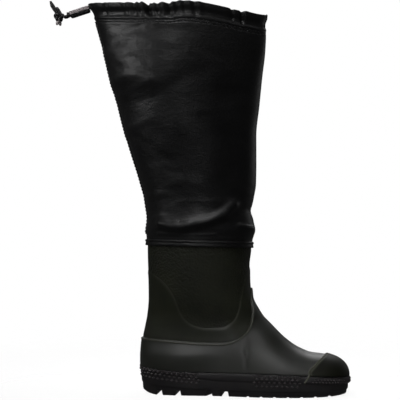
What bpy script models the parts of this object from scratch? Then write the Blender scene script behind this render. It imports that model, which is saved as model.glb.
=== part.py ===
"""Rubber boot with a soft drawcord shaft: a right boot, standing on its sole, at real size.

The tables are in millimetres and the scene is in metres. +X points to the toe, +Y to the inner
side of the foot and +Z up. In the tables x is measured from the back of the heel.
"""

import math
from collections import namedtuple

import bpy
import numpy as np
from mathutils import Vector

MM = 0.001

# Driving sizes, in millimetres
SOLE_LENGTH = 273.0
COLLAR_HEIGHT = 199.5
COLLAR_SLANT = 1.8
SHAFT_HEIGHT = 500.5
RUBBER_WALL = 2.4
CLOTH_WALL = 1.2
FIT_GAP = 0.3

# Raised layers of the moulded upper, each one a step in its wall
ANKLE_LAYER = 0.8
FOOT_LAYER = 1.5
TOE_CAP_LAYER = 1.0
STEP_SLOPE = 0.02

# How finely the surfaces are cut
AROUND = 52
GAITER_AROUND = 48

# The foot: vertical sections, with the half widths to the outer and the inner side and the top
FootSection = namedtuple("FootSection", "x outer inner top")
FOOT_SECTIONS = (
    FootSection(x=20, outer=22, inner=22, top=70),
    FootSection(x=70, outer=29, inner=28, top=95),
    FootSection(x=110, outer=36, inner=32, top=108),
    FootSection(x=145, outer=42.5, inner=37.5, top=101),
    FootSection(x=165, outer=45, inner=41, top=92),
    FootSection(x=189, outer=46, inner=45, top=70),
    FootSection(x=205, outer=45, inner=46, top=58.8),
    FootSection(x=225, outer=42.5, inner=45, top=51.2),
    FootSection(x=250, outer=41, inner=44, top=49.4),
    FootSection(x=276, outer=40, inner=43, top=48.5),
)
FOOT_BASE = 24.0
FOOT_BACK, FOOT_START = 12.0, 60.0
TOE_START = 226.0
TOE_TIP = 269.0
TOE_SWING = 0.06
ACROSS_POWER, UP_POWER, TOE_POWER = 2.5, 2.4, 2.6
FOOT_POWER = 2.4
FIELD_SCALE = 40.0

# The heel and the short rubber shaft: level sections
ShaftSection = namedtuple("ShaftSection", "z back front half")
SHAFT_SECTIONS = (
    ShaftSection(z=26, back=4.5, front=118, half=34),
    ShaftSection(z=50, back=2.8, front=126, half=37.5),
    ShaftSection(z=68, back=4.0, front=138, half=34.3),
    ShaftSection(z=86, back=7.5, front=152, half=37),
    ShaftSection(z=104, back=11.0, front=152, half=42),
    ShaftSection(z=124, back=12.5, front=146.5, half=47),
    ShaftSection(z=146, back=12.3, front=144, half=50.5),
    ShaftSection(z=166, back=11.0, front=143.8, half=52.5),
    ShaftSection(z=188, back=10.5, front=146, half=53),
    ShaftSection(z=COLLAR_HEIGHT + COLLAR_SLANT, back=10.5, front=146, half=53),
)
SHAFT_POWER = 2.2
ANKLE_FILLET = 14.0

# Lines that run round the upper, from the sole to the collar. Each one has its height at the front,
# at its lowest point (dip degrees round from the front) and at the back. Rise and fall shape the way
# up to each end, and the spine is the stretch that the surface is measured out from.
Level = namedtuple("Level", "front low back dip rise fall spine_back spine_front parts")
LEVELS = (
    Level(front=25.5, low=30.4, back=38.3, dip=80, rise=1.2, fall=5, spine_back=38, spine_front=218,
          parts=2),
    Level(front=34, low=38, back=46, dip=86, rise=2, fall=3.5, spine_back=38, spine_front=215, parts=2),
    Level(front=43.5, low=46, back=54, dip=84, rise=2.5, fall=2.5, spine_back=38, spine_front=204, parts=3),
    Level(front=53, low=53, back=61, dip=80, rise=2.3, fall=2, spine_back=42, spine_front=168, parts=4),
    Level(front=84, low=60, back=66.5, dip=68, rise=3, fall=2, spine_back=50, spine_front=122, parts=3),
    Level(front=137, low=67, back=72, dip=62, rise=3.7, fall=2, spine_back=58, spine_front=95, parts=3),
    Level(front=165, low=85, back=159, dip=70, rise=3, fall=1.6, spine_back=66, spine_front=88, parts=4),
    Level(front=COLLAR_HEIGHT - COLLAR_SLANT, low=COLLAR_HEIGHT, back=COLLAR_HEIGHT + COLLAR_SLANT,
          dip=90, rise=1, fall=1, spine_back=72, spine_front=82, parts=0),
)
FOOT_EDGE = 5
ANKLE_EDGE = 6
COLLAR = 7

# The toe cap's edge, in degrees round from the front at the sole and as a line level over the top, and
# the degrees that it runs back by on its way down the sole's side
TOE_CAP_ANGLE = 50.0
TOE_CAP_TOP = 2.65
TOE_CAP_SLANT = 3.0
TOE_CAP_GAP = 0.65
TOE_CAP_COLUMNS, TOE_CAP_ROWS = 22, 9

# The sole's side from the tread (0) past its ridge line (1) to the upper (2), and how far each step
# stands proud of the upper
SideStep = namedtuple("SideStep", "height proud bumper")
SIDE_STEPS = (
    SideStep(height=0.0, proud=-3.6, bumper=0),
    SideStep(height=0.08, proud=-2.4, bumper=0),
    SideStep(height=0.36, proud=-2.0, bumper=0),
    SideStep(height=0.42, proud=-0.8, bumper=0),
    SideStep(height=0.94, proud=-0.4, bumper=0),
    SideStep(height=0.97, proud=-1.1, bumper=0),
    SideStep(height=1.03, proud=-1.1, bumper=0),
    SideStep(height=1.08, proud=0.9, bumper=1),
    SideStep(height=1.92, proud=0.9, bumper=1),
    SideStep(height=2.0, proud=0.3, bumper=1),
)
RidgeLine = namedtuple("RidgeLine", "x z")
RIDGE_LINE = (RidgeLine(x=0, z=31), RidgeLine(x=30, z=29), RidgeLine(x=67, z=24),
              RidgeLine(x=110, z=19.7), RidgeLine(x=200, z=18.8), RidgeLine(x=273, z=16.5))
BUMPER_PROUD = 1.3
HEEL_TUCK, HEEL_TUCK_START = 1.5, 130.0
TOE_SPRING, TOE_SPRING_START = 3.4, 196.0
HEEL_BEVEL, HEEL_BEVEL_END = 8.0, 28.0

# Tread grooves, swept back towards the inner and outer edges, and narrower at their ceiling. The
# forefoot's run out shallow towards the edges.
GROOVE_TAPER = 0.22
LUG_DEPTH, FOREFOOT_DEPTH, FOREFOOT_RUN_OUT = 6.5, 4.2, 6.0
Groove = namedtuple("Groove", "x width sweep")
HEEL_GROOVES = (Groove(x=30, width=7, sweep=0), Groove(x=54.5, width=6.5, sweep=0),
                Groove(x=82, width=7, sweep=20), Groove(x=115, width=8, sweep=0))
FOREFOOT_GROOVE, FOREFOOT_PITCH, FOREFOOT_GROOVES = Groove(x=139, width=4, sweep=9), 17.0, 7
CENTRE_GROOVE_WIDTH, CENTRE_GROOVE_ENDS = 7.0, (128, 232)

# The footbed inside the sole, and the insole on it
Footbed = namedtuple("Footbed", "x z")
FOOTBED = (Footbed(x=0, z=21), Footbed(x=70, z=20), Footbed(x=150, z=13.5),
           Footbed(x=215, z=13.5), Footbed(x=276, z=20))
INSOLE_THICKNESS = 3.5
INSOLE_MARGIN = 0.6

# The soft shaft: level sections. A power under 2 draws the front and the back to a soft crease.
GaiterSection = namedtuple("GaiterSection", "z back front half power")
GAITER_BOTTOM = 190.5
COLLAR_SECTION = SHAFT_SECTIONS[-1]
CLOTH_OUT = FIT_GAP + CLOTH_WALL
CUFF = GaiterSection(z=GAITER_BOTTOM, back=COLLAR_SECTION.back - CLOTH_OUT,
                     front=COLLAR_SECTION.front + CLOTH_OUT, half=COLLAR_SECTION.half + CLOTH_OUT,
                     power=SHAFT_POWER)
GAITER_SECTIONS = (
    CUFF,
    CUFF._replace(z=COLLAR_HEIGHT + COLLAR_SLANT + 3),
    GaiterSection(z=220, back=10, front=148.5, half=56, power=2.15),
    GaiterSection(z=246, back=7.5, front=148.5, half=56.5, power=2.1),
    GaiterSection(z=276, back=-0.5, front=152.5, half=57.5, power=2.05),
    GaiterSection(z=306, back=-10.5, front=153, half=59, power=2.0),
    GaiterSection(z=341, back=-22, front=153, half=61, power=1.95),
    GaiterSection(z=381, back=-32.5, front=157, half=62, power=1.9),
    GaiterSection(z=421, back=-43.5, front=161, half=62, power=1.85),
    GaiterSection(z=456, back=-54, front=165, half=60, power=1.8),
    GaiterSection(z=478, back=-61, front=166, half=58, power=1.78),
    GaiterSection(z=SHAFT_HEIGHT, back=-69, front=166, half=55, power=1.75),
)
RIM_FRONT, RIM_SIDE, RIM_BACK = -10.5, 2.0, 11.0
HEM_HEIGHT, HEM_BULGE, HEM_WALL = 22.0, 0.9, 2.6

# Folds of the soft shaft: heights at the back and the front, how far it stands out, its breadth, and
# the side of the shaft that it lies on, in degrees round from the front
Fold = namedtuple("Fold", "back_z front_z out breadth centre spread")
FOLDS = (
    Fold(back_z=211, front_z=213, out=3.2, breadth=9, centre=0, spread=400),
    Fold(back_z=228, front_z=239, out=-3.0, breadth=8, centre=0, spread=400),
    Fold(back_z=300, front_z=330, out=-2.0, breadth=30, centre=20, spread=40),
)

# The band that binds the shaft to the rubber, and the tape over the shaft's back seam
BINDING_HEIGHT, BINDING_THICKNESS = 8.0, 1.0
SEAM_HALF_ANGLE, SEAM_THICKNESS = 11.0, 0.8
SEAM_BOTTOM, SEAM_TOP = 197.0, 478.0

# The drawcord leaves the hem at the back, through a cord lock, to a knot
CORD_DIAMETER = 4.0
CORD_SPACING = 5.2
CORD_BELOW_RIM = 5.0
LOCK_LENGTH, LOCK_WIDTH, LOCK_HEIGHT, LOCK_ROUNDING = 27.0, 13.0, 10.0, 1.5
LOCK_SLOPE = math.radians(17)
LOCK_BORE = CORD_DIAMETER + 2 * FIT_GAP
STRAND_BEYOND_LOCK = 9.0
KNOT_LENGTH, KNOT_HEIGHT, KNOT_WIDTH = 13.0, 10.0, 11.0
TAIL_UP_LENGTH, TAIL_UP_SLOPE = 18.5, math.radians(122)
TAIL_DOWN_LENGTH, TAIL_DOWN_SLOPE = 6.0, math.radians(268)
TAIL_DIAMETER = 5.0


def smooth_curve(stations, values, at):
    """A cubic curve through a table's points that doesn't overshoot them."""
    x = np.asarray(stations, float)
    y = np.asarray(values, float)
    step = np.diff(x)
    slope = np.diff(y) / step
    tangent = np.concatenate([slope[:1], np.zeros(len(x) - 2), slope[-1:]])
    for i in range(1, len(x) - 1):
        if slope[i - 1] * slope[i] > 0:
            tangent[i] = 2 * slope[i - 1] * slope[i] / (slope[i - 1] + slope[i])
    at = np.clip(np.asarray(at, float), x[0], x[-1])
    i = np.clip(np.searchsorted(x, at) - 1, 0, len(step) - 1)
    t = (at - x[i]) / step[i]
    start = (1 + 2 * t) * (1 - t) ** 2 * y[i] + t * (1 - t) ** 2 * step[i] * tangent[i]
    end = t * t * (3 - 2 * t) * y[i + 1] + t * t * (t - 1) * step[i] * tangent[i + 1]
    return start + end


def read_table(rows, key, column, at):
    """One column of a table, read smoothly at any value of its key column."""
    return smooth_curve([getattr(r, key) for r in rows], [getattr(r, column) for r in rows], at)


def smooth_step(value, low, high):
    t = np.clip((value - low) / (high - low), 0, 1)
    return t * t * (3 - 2 * t)


def even_angles(count):
    return np.arange(count) * (2 * math.pi / count)


def foot_field(x, y, z):
    """About how far a point lies outside the foot, under 0 inside it."""
    outer = read_table(FOOT_SECTIONS, "x", "outer", x)
    inner = read_table(FOOT_SECTIONS, "x", "inner", x)
    top = read_table(FOOT_SECTIONS, "x", "top", x)
    past = np.maximum(x - TOE_START, 0)
    middle = (inner - outer) / 2 + TOE_SWING * past
    across = np.abs(y - middle) / ((inner + outer) / 2)
    up = np.maximum(z - FOOT_BASE, 0) / (top - FOOT_BASE)
    before = np.maximum(FOOT_START - x, 0) / (FOOT_START - FOOT_BACK)
    along = past / (TOE_TIP - TOE_START) + before
    reach = across**ACROSS_POWER + up**UP_POWER + along**TOE_POWER
    return (reach ** (1 / FOOT_POWER) - 1) * FIELD_SCALE


def shaft_field(x, y, z):
    """About how far a point lies outside the heel and shaft, under 0 inside them."""
    back = read_table(SHAFT_SECTIONS, "z", "back", z)
    front = read_table(SHAFT_SECTIONS, "z", "front", z)
    half = read_table(SHAFT_SECTIONS, "z", "half", z)
    along = np.abs(x - (front + back) / 2) / ((front - back) / 2)
    reach = along**SHAFT_POWER + (np.abs(y) / half) ** SHAFT_POWER
    return (reach ** (1 / SHAFT_POWER) - 1) * half


def boot_field(x, y, z):
    """Foot and shaft as one form, with a fillet where they meet."""
    foot = foot_field(x, y, z)
    shaft = shaft_field(x, y, z)
    near = np.maximum(ANKLE_FILLET - np.abs(foot - shaft), 0) / ANKLE_FILLET
    return np.minimum(foot, shaft) - near * near * ANKLE_FILLET / 4


def level_values(level):
    """The line round the upper at any level, between the rows of the table."""
    rows = range(len(LEVELS))
    return Level(*(smooth_curve(rows, [r[i] for r in LEVELS], level) for i in range(len(Level._fields))))


def level_height(line, angle):
    """The line's height at an angle round from the front."""
    around = np.abs((angle + math.pi) % (2 * math.pi) - math.pi)
    dip = np.radians(line.dip)
    ahead = np.cos(np.clip(around / dip, 0, 1) * math.pi / 2) ** line.rise
    behind = np.cos(np.clip((math.pi - around) / (math.pi - dip), 0, 1) * math.pi / 2) ** line.fall
    return line.low + (line.front - line.low) * ahead + (line.back - line.low) * behind


def upper_point(angle, level):
    """Points on the upper's plain outer surface."""
    angle = np.asarray(angle, float)
    line = level_values(level)
    z = level_height(line, angle)
    middle = (line.spine_front + line.spine_back) / 2
    start = middle + (line.spine_front - line.spine_back) / 2 * np.cos(angle)
    near = np.zeros_like(angle)
    far = np.full_like(angle, SOLE_LENGTH)
    for _ in range(40):
        reach = (near + far) / 2
        inside = boot_field(start + reach * np.cos(angle), reach * np.sin(angle), z) < 0
        near = np.where(inside, reach, near)
        far = np.where(inside, far, reach)
    return np.stack([start + near * np.cos(angle), near * np.sin(angle), z], -1)


def unit(vectors):
    return vectors / np.linalg.norm(vectors, axis=-1, keepdims=True)


def upper_normal(angle, level):
    turn, climb = 0.02, 0.05
    along = upper_point(angle + turn, level) - upper_point(angle - turn, level)
    up = upper_point(angle, np.minimum(level + climb, COLLAR))
    up = up - upper_point(angle, np.maximum(level - climb, 0))
    return unit(np.cross(along, up))


def layer_height(level):
    """How far the moulded layers raise the wall at a level."""
    return ANKLE_LAYER * (level < ANKLE_EDGE) + FOOT_LAYER * (level < FOOT_EDGE)


def upper_ring(angle, level, out):
    """A line round the upper, moved out from its plain surface. The end lines keep their heights."""
    point = upper_point(angle, level)
    moved = point + out * upper_normal(angle, level)
    at_end = (np.asarray(level) == 0) | (np.asarray(level) == COLLAR)
    moved[..., 2] = np.where(at_end, point[..., 2], moved[..., 2])
    return moved


def mesh_object(name, points, faces, material):
    mesh = bpy.data.meshes.new(name)
    mesh.from_pydata([Vector(p) * MM for p in points], [], faces)
    mesh.shade_smooth()
    mesh.set_sharp_from_angle(angle=math.radians(35))
    mesh.materials.append(material)
    made = bpy.data.objects.new(name, mesh)
    bpy.context.scene.collection.objects.link(made)
    return made


def helper(made):
    """A cutter or another aid, which isn't shown."""
    made.hide_render = True
    made.display_type = "WIRE"
    return made


def ring_faces(count, first, second):
    """Faces between two rings of points that start at these indices."""
    return [(first + i, first + (i + 1) % count, second + (i + 1) % count, second + i) for i in range(count)]


def ladder_faces(count, first, upward):
    """Faces across a ring, from each point to the one opposite on the other side of the foot."""
    half = count // 2
    faces = [(0, 1, count - 1)]
    faces += [(i, i + 1, count - i - 1, count - i) for i in range(1, half - 1)]
    faces += [(half - 1, half, half + 1)]
    return [tuple(first + i for i in (f if upward else reversed(f))) for f in faces]


def tube_of_rings(name, rings, material):
    """A hollow wall: rings up the outside, then down the inside to the first one."""
    count = len(rings[0])
    faces = []
    for k in range(len(rings)):
        faces += ring_faces(count, k * count, (k + 1) % len(rings) * count)
    return mesh_object(name, np.concatenate(rings), faces, material)


def slab_of_rings(name, rings, material):
    """A solid: rings up from its underside, which is closed across, to its top, closed likewise."""
    count = len(rings[0])
    faces = ladder_faces(count, 0, upward=False)
    for k in range(len(rings) - 1):
        faces += ring_faces(count, k * count, (k + 1) * count)
    faces += ladder_faces(count, (len(rings) - 1) * count, upward=True)
    return mesh_object(name, np.concatenate(rings), faces, material)


def patch_solid(name, outer, inner, material):
    """A curved plate between two grids of points, closed along its four edges."""
    rows, columns = outer.shape[:2]
    index = np.arange(rows * columns).reshape(rows, columns)
    back = index + rows * columns
    faces = []
    for r in range(rows - 1):
        for c in range(columns - 1):
            faces.append((index[r, c], index[r, c + 1], index[r + 1, c + 1], index[r + 1, c]))
            faces.append((back[r + 1, c], back[r + 1, c + 1], back[r, c + 1], back[r, c]))
    for r in range(rows - 1):
        faces.append((index[r + 1, 0], back[r + 1, 0], back[r, 0], index[r, 0]))
        faces.append((index[r, -1], back[r, -1], back[r + 1, -1], index[r + 1, -1]))
    for c in range(columns - 1):
        faces.append((index[0, c], back[0, c], back[0, c + 1], index[0, c + 1]))
        faces.append((index[-1, c + 1], back[-1, c + 1], back[-1, c], index[-1, c]))
    points = np.concatenate([outer.reshape(-1, 3), inner.reshape(-1, 3)])
    return mesh_object(name, points, [tuple(int(i) for i in f) for f in faces], material)


def upper_levels():
    """The levels of the upper's rings: the table's own lines, with even steps between them."""
    levels = []
    for k, line in enumerate(LEVELS):
        levels += [k + i / line.parts for i in range(line.parts)] if line.parts else [float(k)]
    return levels


def build_upper(material):
    """The moulded foot and short shaft: one hollow wall, open at the collar and under the foot."""
    angle = even_angles(AROUND)
    outside = []
    for level in upper_levels():
        if level in (FOOT_EDGE, ANKLE_EDGE):
            below, above = level - STEP_SLOPE, level + STEP_SLOPE
            outside.append(upper_ring(angle, below, layer_height(below)))
            outside.append(upper_ring(angle, above, layer_height(above)))
        else:
            outside.append(upper_ring(angle, level, layer_height(level)))
    inside = [upper_ring(angle, level, -RUBBER_WALL) for level in upper_levels()[::2]]
    if upper_levels()[-1] not in upper_levels()[::2]:
        inside.append(upper_ring(angle, COLLAR, -RUBBER_WALL))
    return tube_of_rings("upper", outside + inside[::-1], material)


def toe_cap_grid(out):
    """Points over the toe, from the sole to the cap's edge, moved out from the upper."""
    columns = np.linspace(-1, 1, TOE_CAP_COLUMNS + 1)
    angle = columns * math.radians(TOE_CAP_ANGLE)
    edge = TOE_CAP_TOP * np.sqrt(1 - 0.985 * columns**2)
    rows = np.linspace(0, 1, TOE_CAP_ROWS + 1)
    return np.array([upper_ring(angle, share * edge, layer_height(0) + out) for share in rows])


def build_toe_cap(material):
    outer = toe_cap_grid(TOE_CAP_GAP + TOE_CAP_LAYER)
    inner = toe_cap_grid(TOE_CAP_GAP)
    return patch_solid("toe_cap", outer, inner, material)


def plan_outline(angle, out):
    """The sole's outline from above: the upper's lower edge, moved out."""
    edge = upper_point(angle, 0.0)
    turn = 0.02
    along = upper_point(angle + turn, 0.0) - upper_point(angle - turn, 0.0)
    normal = unit(np.stack([along[:, 1], -along[:, 0]], -1))
    return edge[:, :2] + out[:, None] * normal


def sole_top(angle):
    return level_height(LEVELS[0], angle) - FIT_GAP


def tread_height(x):
    """Height of the tread over the floor: flat, with a bevelled heel and a toe that springs up."""
    toe = np.maximum(x - TOE_SPRING_START, 0) / (SOLE_LENGTH - TOE_SPRING_START)
    heel = np.maximum(HEEL_BEVEL_END - x, 0) / HEEL_BEVEL_END
    return TOE_SPRING * toe**2 + HEEL_BEVEL * heel**2


def bumper_weight(angle, height):
    """1 round the toe, where the cap runs down and back over the sole's side, and 0 behind it."""
    around = np.abs((angle + math.pi) % (2 * math.pi) - math.pi)
    edge = TOE_CAP_ANGLE + TOE_CAP_SLANT * (2 - height)
    return 1 - smooth_step(np.degrees(around), edge - 2, edge + 2)


def heel_tuck(angle):
    """How far the sole's side is drawn in round the back of the heel."""
    around = np.abs((angle + math.pi) % (2 * math.pi) - math.pi)
    return HEEL_TUCK * smooth_step(np.degrees(around), HEEL_TUCK_START, 180)


def sole_ring(angle, step):
    bumper = step.bumper * BUMPER_PROUD * bumper_weight(angle, step.height)
    outline = plan_outline(angle, layer_height(0) + step.proud + bumper - heel_tuck(angle))
    tread = tread_height(outline[:, 0])
    ridge = read_table(RIDGE_LINE, "x", "z", outline[:, 0])
    below = min(step.height, 1) * (ridge - tread)
    above = max(step.height - 1, 0) * (sole_top(angle) - ridge)
    return np.column_stack([outline, tread + below + above])


def footbed_ring(angle, out, rise):
    outline = plan_outline(angle, np.full_like(angle, out))
    return np.column_stack([outline, read_table(FOOTBED, "x", "z", outline[:, 0]) + rise])


def groove_cutter(groove, half_length, ceiling, run_out=0.0):
    """A prism under the sole, straight or swept back from the middle to both edges."""
    edges = [(-half_length, 0, run_out), (0, groove.sweep, 0), (half_length, 0, run_out)]
    points = []
    for z, drop in ((-LUG_DEPTH, 0), (ceiling, 1)):
        half = groove.width / 2 + GROOVE_TAPER * (ceiling / 2 - z)
        points += [(groove.x + half + sweep, y, z - drop * lower) for y, sweep, lower in edges]
        points += [(groove.x - half + sweep, y, z - drop * lower) for y, sweep, lower in reversed(edges)]
    count = len(points) // 2
    faces = [(5, 4, 1, 0), (4, 3, 2, 1)] + [(count, count + 1, count + 4, count + 5)]
    faces += [(count + 1, count + 2, count + 3, count + 4)] + ring_faces(count, 0, count)
    return helper(mesh_object("tread_cutter", points, faces, None))


def tread_grooves():
    forefoot = [FOREFOOT_GROOVE._replace(x=FOREFOOT_GROOVE.x + i * FOREFOOT_PITCH)
                for i in range(FOREFOOT_GROOVES)]
    cutters = []
    for grooves, depth, run_out in ((HEEL_GROOVES, LUG_DEPTH, 0), (forefoot, FOREFOOT_DEPTH, FOREFOOT_RUN_OUT)):
        for groove in grooves:
            ceiling = float(tread_height(np.array(groove.x))) + depth
            cutters.append(groove_cutter(groove, SOLE_LENGTH / 3, ceiling, run_out))
    start, end = CENTRE_GROOVE_ENDS
    middle = Groove(x=(start + end) / 2, width=end - start, sweep=0)
    cutters.append(groove_cutter(middle, CENTRE_GROOVE_WIDTH / 2, FOREFOOT_DEPTH - 1))
    return cutters


def build_outsole(material):
    """A cupped sole with a stepped side, cut by grooves into lugs."""
    angle = even_angles(AROUND)
    rings = [sole_ring(angle, step) for step in SIDE_STEPS]
    inner_edge = plan_outline(angle, np.full(AROUND, -RUBBER_WALL))
    rings.append(np.column_stack([inner_edge, sole_top(angle)]))
    rings.append(footbed_ring(angle, -RUBBER_WALL - 1, 0))
    sole = slab_of_rings("outsole", rings, material)
    for cutter in tread_grooves():
        cut = sole.modifiers.new("tread", "BOOLEAN")
        cut.object = cutter
        cut.operation = "DIFFERENCE"
    return sole


def build_insole(material):
    angle = even_angles(AROUND)
    out = -RUBBER_WALL - 1 - INSOLE_MARGIN
    rings = [footbed_ring(angle, out, FIT_GAP), footbed_ring(angle, out, FIT_GAP + INSOLE_THICKNESS)]
    return slab_of_rings("insole", rings, material)


def fold_out(angle, z):
    """How far the folds move the soft shaft out. None of them reaches the cuff on the rubber."""
    total = np.zeros_like(angle)
    for fold in FOLDS:
        height = fold.back_z + (fold.front_z - fold.back_z) * (1 + np.cos(angle)) / 2
        away = np.degrees(np.abs((angle - math.radians(fold.centre) + math.pi) % (2 * math.pi) - math.pi))
        total += fold.out * np.exp(-(((z - height) / fold.breadth) ** 2) - (away / fold.spread) ** 2)
    cuff = COLLAR_HEIGHT + COLLAR_SLANT
    return total * smooth_step(z, cuff + 2, cuff + 11)


def ring_lift(angle, z):
    """How far a ring of the soft shaft is tilted: with the collar at the bottom, to the rim at the top."""
    ends = np.where(np.cos(angle) > 0, RIM_FRONT, RIM_BACK)
    rim = RIM_SIDE + (ends - RIM_SIDE) * np.abs(np.cos(angle)) ** 1.5
    collar = -COLLAR_SLANT * np.cos(angle)
    return collar + (rim - collar) * smooth_step(z, COLLAR_HEIGHT + 5, SHAFT_HEIGHT)


def gaiter_point(angle, z, out=0.0):
    """Points on the soft shaft's outer surface at a nominal height, moved out from it."""
    angle = np.asarray(angle, float)
    back, front, half, power = (read_table(GAITER_SECTIONS, "z", c, z) for c in GaiterSection._fields[1:])
    cosine, sine = np.cos(angle), np.sin(angle)
    round_x = np.sign(cosine) * np.abs(cosine) ** (2 / power)
    round_y = np.sign(sine) * np.abs(sine) ** (2 / power)
    x = (front + back) / 2 + (front - back) / 2 * round_x
    y = half * round_y
    slant = unit(np.stack([round_x / (front - back), round_y / (2 * half)], -1))
    hem = smooth_step(z, SHAFT_HEIGHT - HEM_HEIGHT - 1, SHAFT_HEIGHT - HEM_HEIGHT + 2)
    moved = out + fold_out(angle, z) + HEM_BULGE * hem
    lift = ring_lift(angle, z)
    return np.stack([x + moved * slant[:, 0], y + moved * slant[:, 1], z + lift], -1)


def gaiter_heights():
    low = [GAITER_BOTTOM, COLLAR_HEIGHT, 205, 211, 217, 223, 230, 238, 247]
    middle = list(np.linspace(261, SHAFT_HEIGHT - HEM_HEIGHT - 1.5, 9))
    return low + middle + [SHAFT_HEIGHT - HEM_HEIGHT + 2.5, SHAFT_HEIGHT - HEM_HEIGHT / 2, SHAFT_HEIGHT]


def build_gaiter(material):
    """The soft shaft: one thin wall, open at both ends, with its top turned in to a hem."""
    angle = even_angles(GAITER_AROUND)
    heights = gaiter_heights()
    outside = [gaiter_point(angle, z) for z in heights]
    inside = []
    for z in heights[::2]:
        hem = smooth_step(z, SHAFT_HEIGHT - HEM_HEIGHT - 1, SHAFT_HEIGHT - HEM_HEIGHT + 2)
        inside.append(gaiter_point(angle, z, -CLOTH_WALL - (HEM_WALL - CLOTH_WALL) * hem))
    if heights[-1] not in heights[::2]:
        inside.append(gaiter_point(angle, heights[-1], -HEM_WALL))
    return tube_of_rings("gaiter", outside + inside[::-1], material)


def build_binding(material):
    """The band round the soft shaft's lower edge."""
    angle = even_angles(GAITER_AROUND)
    low, high = GAITER_BOTTOM, GAITER_BOTTOM + BINDING_HEIGHT
    out = FIT_GAP + BINDING_THICKNESS
    rings = [gaiter_point(angle, low, out), gaiter_point(angle, high, out),
             gaiter_point(angle, high, FIT_GAP), gaiter_point(angle, low, FIT_GAP)]
    return tube_of_rings("gaiter_binding", rings, material)


def build_back_seam(material):
    """The tape sewn over the seam up the back of the soft shaft."""
    column = 360 / GAITER_AROUND
    angle = math.pi + np.radians([-SEAM_HALF_ANGLE, -column, 0, column, SEAM_HALF_ANGLE])
    heights = [z for z in gaiter_heights() if SEAM_BOTTOM < z < SEAM_TOP]
    outer = np.array([gaiter_point(angle, z, FIT_GAP + SEAM_THICKNESS) for z in heights])
    inner = np.array([gaiter_point(angle, z, FIT_GAP) for z in heights])
    return patch_solid("back_seam_tape", outer, inner, material)


def cord_exit():
    """The point at the back of the hem where the drawcord comes out."""
    return gaiter_point(np.array([math.pi]), SHAFT_HEIGHT - CORD_BELOW_RIM)[0]


def lock_frame():
    """The cord lock's near end and the direction that it points in, back and down."""
    direction = np.array([-math.cos(LOCK_SLOPE), 0, -math.sin(LOCK_SLOPE)])
    return cord_exit() + 2 * FIT_GAP * direction, direction


def knot_centre():
    start, direction = lock_frame()
    end = start + LOCK_LENGTH * direction
    return end + np.array([-STRAND_BEYOND_LOCK - KNOT_LENGTH / 2, 0, -2.5])


def strand_route(side):
    """One strand of the drawcord, through the lock to the knot; side is -1 or 1."""
    start, direction = lock_frame()
    across = np.array([0, side * CORD_SPACING / 2, 0])
    knot = knot_centre() + np.array([KNOT_LENGTH / 2 + FIT_GAP, side * CORD_DIAMETER * 0.56, 0])
    end = start + (LOCK_LENGTH + 1.5) * direction + across
    return [start + across, start + LOCK_LENGTH / 2 * direction + across, end,
            end + (knot - end) * 0.5 + np.array([0, 0, -0.6]), knot]


def smooth_route(points, steps):
    """A smooth line through a route's points."""
    ends = [2 * points[0] - points[1], *points, 2 * points[-1] - points[-2]]
    line = []
    for a, b, c, d in zip(ends, ends[1:], ends[2:], ends[3:]):
        for t in np.arange(steps) / steps:
            line.append(0.5 * (2 * b + (c - a) * t + (2 * a - 5 * b + 4 * c - d) * t**2
                               + (3 * b - a - 3 * c + d) * t**3))
    return line + [points[-1]]


def round_cord(name, points, diameter, material):
    """A cord along a line of points, with flat ends."""
    curve = bpy.data.curves.new(name, "CURVE")
    curve.dimensions = "3D"
    curve.bevel_depth = diameter / 2 * MM
    curve.bevel_resolution = 2
    curve.use_fill_caps = True
    spline = curve.splines.new("POLY")
    spline.points.add(len(points) - 1)
    for place, point in zip(spline.points, points):
        place.co = (*(Vector(point) * MM), 1)
    curve.materials.append(material)
    made = bpy.data.objects.new(name, curve)
    bpy.context.scene.collection.objects.link(made)
    return made


def as_mesh(made):
    """The same object with its curve or modifiers turned into a plain mesh."""
    graph = bpy.context.evaluated_depsgraph_get()
    mesh = bpy.data.meshes.new_from_object(made.evaluated_get(graph))
    plain = bpy.data.objects.new(made.name, mesh)
    bpy.data.objects.remove(made)
    bpy.context.scene.collection.objects.link(plain)
    return plain


def build_cord_lock(material):
    """A rounded block with a bore for each strand."""
    start, direction = lock_frame()
    bpy.ops.mesh.primitive_cube_add(size=1)
    lock = bpy.context.object
    lock.name = "cord_lock"
    for vertex in lock.data.vertices:
        vertex.co *= Vector((LOCK_LENGTH, LOCK_WIDTH, LOCK_HEIGHT)) * MM
    lock.data.materials.append(material)
    lock.location = Vector(start + LOCK_LENGTH / 2 * direction) * MM
    lock.rotation_euler = (0, -LOCK_SLOPE, 0)
    bevel = lock.modifiers.new("rounding", "BEVEL")
    bevel.width = LOCK_ROUNDING * MM
    bevel.segments = 2
    for side in (-1, 1):
        bpy.ops.mesh.primitive_cylinder_add(
            vertices=12, radius=LOCK_BORE / 2 * MM, depth=2 * LOCK_LENGTH * MM)
        bore = helper(bpy.context.object)
        bore.name = "lock_bore"
        bore.location = lock.location + Vector((0, side * CORD_SPACING / 2 * MM, 0))
        bore.rotation_euler = (0, math.pi / 2 - LOCK_SLOPE, 0)
        cut = lock.modifiers.new("bore", "BOOLEAN")
        cut.object = bore
        cut.operation = "DIFFERENCE"
    return lock


def tail_route(length, slope):
    """A knot's loose end, out of the knot's middle at a slope over the horizontal."""
    direction = np.array([math.cos(slope), 0, math.sin(slope)])
    return [knot_centre() + direction * step for step in np.linspace(0, KNOT_HEIGHT / 2 + length, 5)]


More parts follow.
